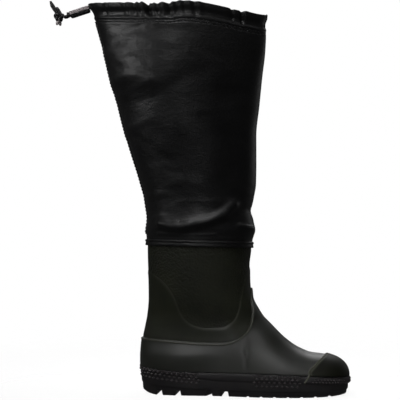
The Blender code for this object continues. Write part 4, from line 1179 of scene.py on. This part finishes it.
# Gathers in the hem: where round from the front they bunch, over how many degrees, and how deeply
Bunch = namedtuple("Bunch", "degrees spread depth")
BUNCHES = (Bunch(-108, 13, 3.4), Bunch(-86, 10, 2.6), Bunch(-43, 6, 1.6), Bunch(-150, 12, 0.3),
           Bunch(96, 20, 1.6), Bunch(48, 9, 1.4), Bunch(142, 14, 0.9))
# Pleats drawn for the gathers: the ranges of their breadth in degrees and of their share of the depth,
# and the least depth. Each has a lower ridge beside it, at this many of its breadths.
PLEATS, PLEAT_SEED, PLEAT_BREADTH, PLEAT_SHARE, PLEAT_LEAST = 150, 3, (1.1, 2.3), (0.3, 1.0), 0.12
PLEAT_RIDGE, PLEAT_RIDGE_ASIDE, PLEAT_RIDGE_BREADTH = 0.45, 2, 1.4
# How strongly the pleats gather the hem, over what height, and how far they draw the rim down
GATHER_DEPTH, GATHERS_IN = 1.25, (HEM_SEAM + 1, HEM_SEAM + 13)
GATHER_PULL, GATHER_PULL_START = 0.45, SHAFT_HEIGHT - 12
# The hem's section: how far over its seam, and how far the cloth stands out, rolled over the cord
HemShape = namedtuple("HemShape", "rise out")
HEM_SHAPE = (HemShape(-3, 0), HemShape(3, 0.2), HemShape(7, -1.0), HemShape(10, -1.0), HemShape(18, 1.6),
             HemShape(22, 1.9))
# The two rows of stitches under the hem: how far below its seam, and how deep and broad a dent they pull
StitchRow = namedtuple("StitchRow", "below depth breadth")
STITCH_ROWS = (StitchRow(0, 0.7, 1.3), StitchRow(3.2, 0.5, 1.0))
# How the rim waves up and down, by the angle round from the front, and where up the shaft that starts
RimWave = namedtuple("RimWave", "degrees lift")
RIM_WAVE = tuple(RimWave(d, h) for d, h in (
    (0, 3.0), (22, -0.8), (42, -1.6), (60, 0.5), (76, 1.9), (83, 1.5), (88, -0.4), (96, -2.2), (104, -1.6),
    (110, -1.2), (140, -1.2), (180, 0)))
RIM_WAVE_START = SHAFT_HEIGHT - 60


def pleat_table():
    """Angle, breadth and depth of each pleat, from a fixed seed."""
    random = np.random.default_rng(PLEAT_SEED)
    degrees = random.uniform(-180, 180, PLEATS)
    depth = PLEAT_LEAST + sum(b.depth * bell(degrees - b.degrees, b.spread) for b in BUNCHES)
    breadth = random.uniform(*PLEAT_BREADTH, PLEATS)
    return list(zip(degrees, breadth, depth * random.uniform(*PLEAT_SHARE, PLEATS)))


PLEAT_TABLE = pleat_table()


def hem_gathers(angle):
    """Pleats that the drawcord makes in the hem, bunched here and there."""
    degrees = np.degrees(angle)
    total = np.zeros_like(degrees)
    for at, broad, depth in PLEAT_TABLE:
        away = (degrees - at + 180) % 360 - 180
        ridge = PLEAT_RIDGE * bell(away - PLEAT_RIDGE_ASIDE * broad, PLEAT_RIDGE_BREADTH * broad)
        total += depth * (ridge - bell(away, broad))
    return total


# Where the drawcord pulls the cloth in under the hem: degrees round, spread, how far, and from what
# height up
LEAN_AT, LEAN_SPREAD, LEAN_IN, LEAN_START = 228.0, 26.0, 5.0, 402.0


def cloth_out(angle, z, x):
    """How far the soft shaft's folds, hem and gathers move it out from its plain form."""
    total = np.zeros(np.broadcast(angle, z).shape)
    ends = np.abs(np.cos(angle)) ** ROUND_FOLD_SHARPNESS * np.where(np.cos(angle) > 0, 1, ROUND_FOLD_BACK)
    for fold in ROUND_FOLDS:
        height = fold.back_z + (fold.front_z - fold.back_z) * (1 + np.cos(angle)) / 2
        total += fold.out * bell(z - height, fold.breadth) * ends
    for fold in (*SIDE_FOLDS, *CREASES):
        reach = FOLD_REACH * max(fold.above, fold.below)
        xs, zs = zip(*fold.line)
        near = (x > min(xs) - reach) & (x < max(xs) + reach) & (z > min(zs) - reach) & (z < max(zs) + reach)
        near &= np.sin(angle) * fold.side > FOLD_FACING[0]
        if not near.any():
            continue
        away, over = line_distance(x[near], z[near], fold.line)
        facing = smooth_step((np.sin(angle) * np.ones_like(z))[near] * fold.side, *FOLD_FACING)
        breadth = fold.below + (fold.above - fold.below) * smooth_step(over, -1, 1)
        total[near] += fold.out * facing * bell(away, breadth)
    total = total * smooth_step(z, *FOLDS_IN)
    lean = bell(np.degrees(angle + TURN * (angle < 0)) - LEAN_AT, LEAN_SPREAD)
    total -= LEAN_IN * lean * smooth_step(z, LEAN_START, HEM_SEAM)
    total += read_table(HEM_SHAPE, "rise", "out", z - HEM_SEAM)
    total += GATHER_DEPTH * hem_gathers(angle) * smooth_step(z, *GATHERS_IN)
    for row in STITCH_ROWS:
        total -= row.depth * bell(z - HEM_SEAM + row.below, row.breadth)
    return total


def cloth_point(angle, z, out=0.0):
    """Points on the soft shaft's outer surface at a nominal height, moved out from it."""
    angle, z, out = np.broadcast_arrays(*(np.asarray(v, float) for v in (angle, z, out)))
    back, front, half, power = (read_table(GAITER_SECTIONS, "z", c, z) for c in GaiterSection._fields[1:])
    round_x, round_y = squared(angle, power)
    x = (front + back) / 2 + (front - back) / 2 * round_x
    y = half * round_y
    slant = unit(np.stack([round_x / (front - back), round_y / (2 * half)], -1))
    moved = out + cloth_out(angle, z, x)
    pulled = GATHER_PULL * hem_gathers(angle) * smooth_step(z, GATHER_PULL_START, SHAFT_HEIGHT)
    wave = read_table(RIM_WAVE, "degrees", "lift", np.degrees(from_front(angle)))
    lift = ring_lift(angle, z) + pulled + wave * smooth_step(z, RIM_WAVE_START, SHAFT_HEIGHT)
    return np.stack([x + moved * slant[..., 0], y + moved * slant[..., 1], z + lift], -1)


def build_cloth_shaft(cloth, lining):
    """The soft shaft: creased coated cloth, its rim turned over a drawcord and gathered, and lined."""
    angle = even_angles(GAITER_COLUMNS)[None, :]
    heights = np.unique(np.concatenate([np.linspace(*stretch) for stretch in GAITER_STRETCHES]))
    outside = cloth_point(angle, heights[:, None])
    over = np.linspace(0, math.pi, RIM_ROLL_POINTS)[1:-1, None]
    rim = cloth_point(angle, np.full((1, 1), SHAFT_HEIGHT), -HEM_WALL / 2 * (1 - np.cos(over)))
    rim = rim + np.array([0, 0, HEM_WALL / 2]) * np.sin(over)[..., None]
    inner_heights = np.unique(np.append(heights[::INSIDE_HEIGHT_STEP], SHAFT_HEIGHT))[::-1, None]
    doubled = (HEM_WALL - CLOTH_WALL) * smooth_step(inner_heights, *HEM_DOUBLE)
    inside = cloth_point(angle, inner_heights, -CLOTH_WALL - doubled)
    points = np.concatenate([outside.reshape(-1, 3), rim.reshape(-1, 3), inside.reshape(-1, 3)])
    rows = len(outside) + len(rim) + len(inside)
    turned_in = len(outside) + len(rim) + int((inner_heights > HEM_SEAM).sum())
    lined = np.repeat(np.arange(rows) >= turned_in, GAITER_COLUMNS).astype(int)
    make_piece("cloth_shaft", points, tube_faces(rows, GAITER_COLUMNS), (cloth, lining),
               ("gaiter",), finish_of=lined)


BINDING_COLUMNS = 360
# The binding's section: height up the band and how far it stands out, with a slight ripple round it
BINDING_SECTION = ((0, 0.1), (0, 0.9), (0.05, 1.25), (0.15, 1.4), (0.4, 1.3), (0.5, 1.05), (0.54, 0.9),
                   (0.58, 1.1), (0.66, 1.6), (0.78, 1.75), (0.9, 1.5), (0.98, 0.9), (1.0, 0.1))
RIPPLE_HEIGHT, RIPPLES_AROUND, RIPPLE_SLANT = 0.15, 23, 9


def build_cloth_binding(cloth):
    """The folded band that joins the soft shaft to the rubber: a flat strip with a corded upper edge."""
    angle = even_angles(BINDING_COLUMNS)
    rings = []
    for share, out in BINDING_SECTION:
        ripple = RIPPLE_HEIGHT * np.sin(RIPPLES_AROUND * angle + RIPPLE_SLANT * share)
        rings.append(cloth_point(angle, GAITER_BOTTOM + share * BINDING_HEIGHT, out + ripple))
    make_piece("cloth_binding", np.concatenate(rings), tube_faces(len(rings), BINDING_COLUMNS), (cloth,),
               ("gaiter_binding",))


TAPE_COLUMNS, TAPE_ROWS = 25, 150
# How far the tape's edges and its underside lie from the cloth, how square its rounding is, and the valley
# up its middle
TAPE_EDGE, TAPE_UNDERSIDE, TAPE_SQUARENESS = 0.05, -0.3, 6
TAPE_VALLEY_DEPTH, TAPE_VALLEY_BREADTH = 0.5, 0.14


def build_back_tape(cloth):
    """The tape sewn over the seam up the back of the soft shaft."""
    across = np.linspace(-1, 1, TAPE_COLUMNS)
    angle = (math.pi + math.radians(SEAM_HALF_ANGLE) * across)[None, :]
    heights = np.linspace(SEAM_BOTTOM, SEAM_TOP, TAPE_ROWS)[:, None]
    rounding = np.sqrt(np.clip(1 - np.abs(across) ** TAPE_SQUARENESS, 0, 1))[None, :]
    valley = TAPE_VALLEY_DEPTH * bell(across, TAPE_VALLEY_BREADTH)[None, :]
    outer = cloth_point(angle, heights, TAPE_EDGE + (FIT_GAP + SEAM_THICKNESS) * rounding - valley)
    inner = cloth_point(angle, heights, TAPE_UNDERSIDE)
    points = np.concatenate([outer.reshape(-1, 3), inner.reshape(-1, 3)])
    make_piece("back_seam_tape_cloth", points, plate_faces(*outer.shape[:2]), (cloth,),
               ("back_seam_tape",))


# Stitches: the length of one, the gap to the next and the thread's width, how far its crown stands out and
# how far its ends dip in
STITCH_LENGTH, STITCH_GAP, THREAD_WIDTH = 3.4, 1.2, 0.8
STITCH_CROWN, STITCH_DIP, STITCH_POINTS, THREAD_SIDES = 0.45, 0.15, 6, 6
# The hem's stitches end this many degrees round from the front, at the back tape
HEM_STITCH_END = 171
# The tape's stitches: their place between its middle and its edge, the margin at its ends, the points on
# a line of them, and a place straight out from them
TAPE_STITCH_SHARE, TAPE_STITCH_MARGIN, TAPE_LINE_POINTS, TAPE_STITCH_OUT = 0.72, 2, 900, 3.0


def stitch_line(points, outward):
    """A row of stitches along a line, each one a short thread that dips into the cloth at both ends."""
    far = run_along(points)
    crown = (STITCH_CROWN * np.sin(np.linspace(0, math.pi, STITCH_POINTS)) - STITCH_DIP)[:, None]
    stitches = []
    for start in np.arange(0, far[-1] - STITCH_LENGTH, STITCH_LENGTH + STITCH_GAP):
        at = start + STITCH_LENGTH * np.linspace(0, 1, STITCH_POINTS)
        route = read_along(at, far, points) + read_along(at, far, outward) * crown
        stitches.append(tube_along(route, THREAD_WIDTH / 2, THREAD_SIDES))
    return stitches


def build_stitching(thread):
    """Two rows of stitches under the hem's tunnel, and one along each edge of the back tape."""
    stitches = []
    angle = np.linspace(math.radians(-HEM_STITCH_END), math.radians(HEM_STITCH_END), LINE_POINTS)
    for row in STITCH_ROWS:
        line = cloth_point(angle, HEM_SEAM - row.below)
        stitches += stitch_line(line, unit(cloth_point(angle, HEM_SEAM - row.below, 1.0) - line))
    heights = np.linspace(SEAM_BOTTOM + TAPE_STITCH_MARGIN, SEAM_TOP - TAPE_STITCH_MARGIN, TAPE_LINE_POINTS)
    for side in (-1, 1):
        edge = np.full_like(heights, math.pi + side * math.radians(SEAM_HALF_ANGLE) * TAPE_STITCH_SHARE)
        line = cloth_point(edge, heights, TAPE_EDGE + FIT_GAP + SEAM_THICKNESS)
        stitches += stitch_line(line, unit(cloth_point(edge, heights, TAPE_STITCH_OUT) - line))
    points, faces = joined(stitches)
    make_piece("shaft_stitching", points, faces, (thread,))


# The drawcord, its lock and its knot


def cord_exit():
    """The point at the back of the hem where the drawcord comes out."""
    z = SHAFT_HEIGHT - CORD_BELOW_RIM
    back = read_table(GAITER_SECTIONS, "z", "back", z)
    return np.array([float(back) - CORD_EXIT_OUT, 0, z + float(ring_lift(np.array(math.pi), np.array(z)))])


LOCK_DIRECTION = np.array([-math.cos(LOCK_SLOPE), 0, -math.sin(LOCK_SLOPE)])
LOCK_START = cord_exit() + 2 * FIT_GAP * LOCK_DIRECTION
KNOT_CENTRE = LOCK_START + LOCK_LENGTH * LOCK_DIRECTION
KNOT_CENTRE = KNOT_CENTRE + np.array([-STRAND_BEYOND_LOCK - KNOT_LENGTH / 2, 0, -KNOT_DROP])
STRAND_STEPS, STRAND_AROUND = 30, 24
# The cord's braid: the length of one turn of its strands, their number each way, and their relief
BRAID_PITCH, BRAID_STRANDS, BRAID_HEIGHT, BRAID_SINK = 5.5, 6, 0.16, 0.1


def strand_route(side):
    """One strand of the drawcord, through the lock to the knot; side is -1 or 1."""
    across = np.array([0, side * CORD_SPACING / 2, 0])
    knot = KNOT_CENTRE + np.array([KNOT_LENGTH / 2 + FIT_GAP, side * CORD_DIAMETER * STRAND_ASIDE, 0])
    end = LOCK_START + (LOCK_LENGTH + STRAND_STRAIGHT) * LOCK_DIRECTION + across
    return [LOCK_START + across, LOCK_START + LOCK_LENGTH / 2 * LOCK_DIRECTION + across, end,
            end + (knot - end) * 0.5 + np.array([0, 0, -STRAND_SAG]), knot]


def braid(turn, far):
    """The relief of a cord's crossing strands."""
    one = np.cos(BRAID_STRANDS * turn + far * TURN / BRAID_PITCH * 2)
    other = np.cos(BRAID_STRANDS * turn - far * TURN / BRAID_PITCH * 2)
    return BRAID_HEIGHT * np.maximum(one, other) - BRAID_SINK


def build_drawcord(polyester, pale_acetal_painted_light, dark_acetal_and_painted_shade):
    """Two strands through the lock to the knot: a cord that is seen from end to end."""
    carried = [build_cord_lock(pale_acetal_painted_light, dark_acetal_and_painted_shade), build_lock_button(dark_acetal_and_painted_shade),
               build_knot(polyester, pale_acetal_painted_light)]
    for name, side, pieces in (("drawcord_outer", -1, carried), ("drawcord_inner", 1, [])):
        route = smooth_route(strand_route(side), STRAND_STEPS)
        points, faces = tube_along(route, CORD_DIAMETER / 2, STRAND_AROUND, braid)
        strand = make_piece("braid_" + name, points, faces, (polyester,), (name,))


LOCK_RINGS, LOCK_AROUND, LOCK_SQUARENESS, LOCK_EDGE_TURN = 61, 240, 2.4, 40
LOCK_REEDS, LOCK_REED_DEPTH, LOCK_REEDED_SHARE = 30, 0.35, 0.85
# The lock's size at its rounded ends, how much it gains towards the middle, and how sharply
LOCK_END_SIZE, LOCK_END_GAIN, LOCK_END_SHARPNESS = 0.72, 0.28, 14
# The painted shade on the lock's lower half starts at this share of its half height
LOCK_SHADE_SPLIT = -0.12
BORE_AROUND = 28
BUTTON_REACH, BUTTON_RAISED, BUTTON_RADIUS, BUTTON_ROOT = 5.2, 3.2, 2.2, 1.5
BUTTON_POINTS, BUTTON_AROUND = 24, 24
# The button's waist: its depth, and where along the button it is and how broad
WAIST_DEPTH, WAIST_PLACE, WAIST_BREADTH = 0.45, 0.62, 0.12
BUTTON_END, BUTTON_END_SHARPNESS = 1.02, 16


def button_taper(share):
    """The button's size along its length: a waist, then a rounded flat end."""
    end = np.sqrt(np.clip(1 - (share / BUTTON_END) ** BUTTON_END_SHARPNESS, 0, 1))
    return (1 - WAIST_DEPTH * bell(share - WAIST_PLACE, WAIST_BREADTH)) * end


def build_lock_button(dark_acetal_and_painted_shade):
    """The end of the lock's push button, with a waist, standing out over the strands."""
    start = LOCK_START + (LOCK_LENGTH - BUTTON_ROOT) * LOCK_DIRECTION + np.array([0, 0, BUTTON_RAISED])
    route = [start + LOCK_DIRECTION * s for s in np.linspace(0, BUTTON_ROOT + BUTTON_REACH, BUTTON_POINTS)]
    points, faces = tube_along(route, BUTTON_RADIUS, BUTTON_AROUND, None, button_taper)
    return make_piece("cord_lock_button", points, faces, (dark_acetal_and_painted_shade,))


def build_cord_lock(pale_acetal_painted_light, dark_acetal_and_painted_shade):
    """A moulded slider: an oval bar, pale above as painted light and dark below as painted shade, reeded
    lengthwise for the thumb, with a bore for each strand."""
    along = np.linspace(-1, 1, LOCK_RINGS)
    turn = even_angles(LOCK_AROUND)
    across, up = squared(turn, LOCK_SQUARENESS)
    end = np.clip(1 - np.abs(along) ** LOCK_END_SHARPNESS, 0.0, 1) ** 0.5
    reeded = 0.5 - 0.5 * np.cos(turn * LOCK_REEDS)
    lift_axis = np.array([-math.sin(LOCK_SLOPE), 0, math.cos(LOCK_SLOPE)])
    centre = LOCK_START + LOCK_LENGTH / 2 * LOCK_DIRECTION
    rings = []
    for share, size in zip(along, end):
        cut_in = 2 * LOCK_REED_DEPTH / LOCK_HEIGHT * reeded * (abs(share) < LOCK_REEDED_SHARE)
        size = (LOCK_END_SIZE + LOCK_END_GAIN * size) * (1 - cut_in)
        height = LOCK_HEIGHT / 2 * size * up
        width = LOCK_WIDTH / 2 * size * across
        middle = centre + LOCK_DIRECTION * share * LOCK_LENGTH / 2
        rings.append(middle + height[:, None] * lift_axis + width[:, None] * np.array([0, 1.0, 0]))
    rings = rings[::-1]
    last = (LOCK_RINGS - 1) * LOCK_AROUND
    faces = [tuple(reversed(range(LOCK_AROUND)))] + wall_faces(LOCK_RINGS, LOCK_AROUND)
    faces.append(tuple(range(last, last + LOCK_AROUND)))
    # Faces below the split take the dark finish as painted shade on the lock's underside; the rest take the
    # pale finish as painted light
    painted_shade_under = np.where(up < LOCK_SHADE_SPLIT, 1, 0)
    finish = np.concatenate([[0], np.tile(painted_shade_under, LOCK_RINGS - 1), [0]])
    lock = make_piece("reeded_cord_lock", np.concatenate(rings), faces, (pale_acetal_painted_light, dark_acetal_and_painted_shade),
                      ("cord_lock",), finish_of=finish, sharp=LOCK_EDGE_TURN)
    bores = []
    for side in (-1, 1):
        middle = centre + np.array([0, side * CORD_SPACING / 2, 0])
        route = [middle + LOCK_DIRECTION * s for s in (-LOCK_LENGTH, 0, LOCK_LENGTH)]
        bores.append(new_object("bore", *tube_along(route, CORD_DIAMETER / 2 + FIT_GAP, BORE_AROUND)))
    cut_away(lock, bores)
    return lock


# The knot's loop: its points, its size along, across and up, its flatness across and its thickness
KNOT_LOOP_POINTS, KNOT_LOOP_SIZE, KNOT_LOOP_FLAT, KNOT_LOOP_RADIUS = 161, (1.9, 2.2, 1.5), 1.15, 2.4
KNOT_AROUND, KNOT_END_STEPS = 20, 14
# The knot's ends, from its centre, with the radius of each: two of cord, then two tips with a painted
# highlight
KnotEnd = namedtuple("KnotEnd", "radius places")
KNOT_ENDS = (
    KnotEnd(2.8, ((0, -1.2, 1), (-2.5, -1.5, 6), (-6.5, -1.2, 11.5), (-9.5, -0.6, 16.5),
                  (-11.6, -0.3, 21.5))),
    KnotEnd(2.7, ((1, 1.2, 1), (0.5, 1.6, 5.5), (-1.8, 1.4, 9.5), (-2.6, 1.0, 12.5), (-2.2, 0.8, 13.6))),
    KnotEnd(2.2, ((-0.5, -1.4, -2), (-1.0, -1.6, -5), (-1.6, -1.8, -7.5), (-2.4, -2.0, -9.6),
                  (-2.9, -2.2, -10.6))),
    KnotEnd(2.2, ((0.5, 1.4, -2), (0.6, 1.6, -5), (0.9, 1.8, -8), (1.3, 2.0, -10.3), (1.6, 2.2, -11.2))),
)
KNOT_TIPS = 2
# Each end narrows by this share over its last stretch
KNOT_END_NARROWING, KNOT_END_NARROWS = 0.45, (0.72, 1.0)


def knot_end_taper(share):
    """The size of one of the knot's ends along its length."""
    return 1 - KNOT_END_NARROWING * smooth_step(share, *KNOT_END_NARROWS)


def build_knot(polyester, pale_acetal_painted_light):
    """An overhand knot whose loop faces the side, with two cut ends standing up and two short tips in the
    pale finish, as a painted highlight.
    """
    t = np.linspace(0, TURN, KNOT_LOOP_POINTS)
    loop = np.stack([np.sin(t) + 2 * np.sin(2 * t), -KNOT_LOOP_FLAT * np.sin(3 * t),
                     np.cos(t) - 2 * np.cos(2 * t)], -1)
    loop = KNOT_CENTRE + loop * np.array(KNOT_LOOP_SIZE)
    parts = [tube_along(loop, KNOT_LOOP_RADIUS, KNOT_AROUND, braid)]
    for end in KNOT_ENDS:
        route = smooth_route([KNOT_CENTRE + np.array(p) for p in end.places], KNOT_END_STEPS)
        parts.append(tube_along(route, end.radius, KNOT_AROUND, braid, knot_end_taper))
    points, faces = joined(parts)
    # The last two ends take the pale finish as a painted highlight
    pale = np.arange(len(parts)) >= len(parts) - KNOT_TIPS
    tip = np.repeat(pale.astype(int), [len(part_faces) for _, part_faces in parts])
    return make_piece("overhand_knot", points, faces, (polyester, pale_acetal_painted_light), ("drawcord_knot",),
                      finish_of=tip)


# Floor and light

# Softboxes: place, what they point at, size across and up, brightness, and the spread of their grid in
# degrees
Softbox = namedtuple("Softbox", "name place aim wide high bright spread")
SOFTBOXES = (
    Softbox("overhead", (-0.05, -0.55, 1.65), (0.0, 0.0, 0.2), 1.2, 1.1, 0.25, 180),
    Softbox("back_top", (0.0, 1.25, 1.2), (0.0, 0.0, 0.25), 1.5, 0.9, 1.25, 180),
    Softbox("inner_side", (0.1, 1.5, 0.95), (-0.04, 0.0, 0.44), 0.8, 0.5, 10.0, 20),
    Softbox("right_back", (0.95, 1.05, 0.45), (0.05, 0.0, 0.3), 0.4, 0.5, 0.45, 180),
    Softbox("right_top", (0.92, 0.0, 1.56), (0.0, 0.0, 0.25), 0.6, 0.45, 0.8, 180),
    Softbox("fold_front", (-0.33, -0.86, 1.53), (-0.05, 0.0, 0.29), 0.7, 0.4, 32.0, 20),
    Softbox("gaiter_front", (-0.3, -1.3, 1.1), (-0.03, 0.0, 0.46), 0.5, 0.4, 3.2, 24),
    Softbox("foot_front", (-0.05, -1.6, 0.52), (0.03, 0.0, -0.06), 0.8, 0.5, 17.6, 18),
    Softbox("left_side", (-1.35, -0.65, 0.85), (-0.1, 0.0, 0.48), 0.45, 0.4, 15.0, 28),
)
ROOM_GREY, BACKDROP_WHITE = 0.05, 1.0


def light_studio():
    """The softboxes, in a dim grey room with a white backdrop."""
    for box in SOFTBOXES:
        light = bpy.data.lights.new(box.name, "AREA")
        light.shape = "RECTANGLE"
        light.size, light.size_y = box.wide, box.high
        light.spread = math.radians(box.spread)
        # A grid gathers the light into its beam, so the box needs less power to look as bright from there
        beam = light.spread / 2
        light.energy = box.bright * math.pi * box.wide * box.high * (1 - beam / math.tan(beam))
        placed = bpy.data.objects.new(box.name, light)
        placed.location = box.place
        placed.rotation_euler = (Vector(box.aim) - Vector(box.place)).to_track_quat("-Z", "Y").to_euler()
        placed.visible_camera = False
        bpy.context.scene.collection.objects.link(placed)
    world = bpy.data.worlds.new("studio")
    world.use_nodes = True
    tree = world.node_tree
    tree.nodes.clear()
    seen = add(tree, "LightPath", {})
    room = add(tree, "Background", {"Color": linear("#ffffff"), "Strength": ROOM_GREY})
    backdrop = add(tree, "Background", {"Color": linear("#ffffff"), "Strength": BACKDROP_WHITE})
    both = add(tree, "MixShader", {0: seen.outputs["Is Camera Ray"], 1: room.outputs[0],
                                   2: backdrop.outputs[0]})
    add(tree, "OutputWorld", {"Surface": both.outputs[0]})
    bpy.context.scene.world = world
    bpy.context.scene.view_settings.view_transform = "Standard"


# The floor, in metres: its half width, and the reach over which it thins out, from how much cover
FLOOR_HALF, FLOOR_THINS, FLOOR_REACH, FLOOR_COVER, FLOOR_GLOW = 1, 0.25, 0.9, 0.3, 0.66


def lay_floor():
    """A plain pale floor that thins out into the white backdrop."""
    made, tree, place = new_finish("pale_floor")
    away = add(tree, "VectorMath", {0: place}, operation="LENGTH")
    cover = add(tree, "MapRange", {"Value": away.outputs["Value"], "From Min": FLOOR_THINS,
                                   "From Max": FLOOR_REACH, "To Min": FLOOR_COVER, "To Max": 0.0})
    finished(made, {"Roughness": 0.9, "Base Color": linear("#f4f4f4"), "Emission Color": linear("#ffffff"),
                    "Emission Strength": FLOOR_GLOW, "Alpha": cover.outputs[0]})
    corners = [(x * FLOOR_HALF, y * FLOOR_HALF, 0) for x, y in ((-1, -1), (1, -1), (1, 1), (-1, 1))]
    mesh = bpy.data.meshes.new("floor")
    mesh.from_pydata(corners, [], [(0, 1, 2, 3)])
    mesh.materials.append(made)
    floor = bpy.data.objects.new("floor", mesh)
    floor.visible_glossy = False
    bpy.context.scene.collection.objects.link(floor)


def build_boot():
    """All the boot's pieces, in their finishes."""
    shaft_rubber = moulded_olive_rubber("matt_olive_rubber", "#16180e", "#222418",
                                        smooth=0.5, rough=0.6, shine=0.3, wax=0.8)
    foot_rubber = moulded_olive_rubber("waxed_olive_rubber", "#0e1008", "#181a12",
                                       smooth=0.44, rough=0.52, shine=0.5, wax=0.9)
    cap_rubber = moulded_olive_rubber("dull_olive_rubber", "#0f1008", "#191a10",
                                      smooth=0.5, rough=0.58, shine=0.25, wax=0.0)
    sole_rubber = moulded_sole_rubber()
    cloth = coated_cloth()
    lining = knitted_lining()
    # The pale acetal paints light on the lock's upper half and the knot's tips; the dark one paints shade on
    # the lock's lower half and is the button's colour
    build_drawcord(braided_polyester(), moulded_acetal("scuffed_acetal_painted_light", "#b0a7a9", "#d6cdcf"),
                   moulded_acetal("dark_acetal_and_painted_shade", "#0d0d0e", "#1c1b1c"))
    build_rubber_upper(shaft_rubber, foot_rubber, lining)
    build_rubber_toe_cap(cap_rubber)
    build_rubber_sole(sole_rubber)
    build_sole_studs(sole_rubber)
    build_felt_insole(pressed_felt())
    build_cloth_shaft(cloth, lining)
    build_cloth_binding(cloth)
    build_back_tape(cloth)
    build_stitching(twisted_thread())


place_camera()
build_boot()
lay_floor()
light_studio()
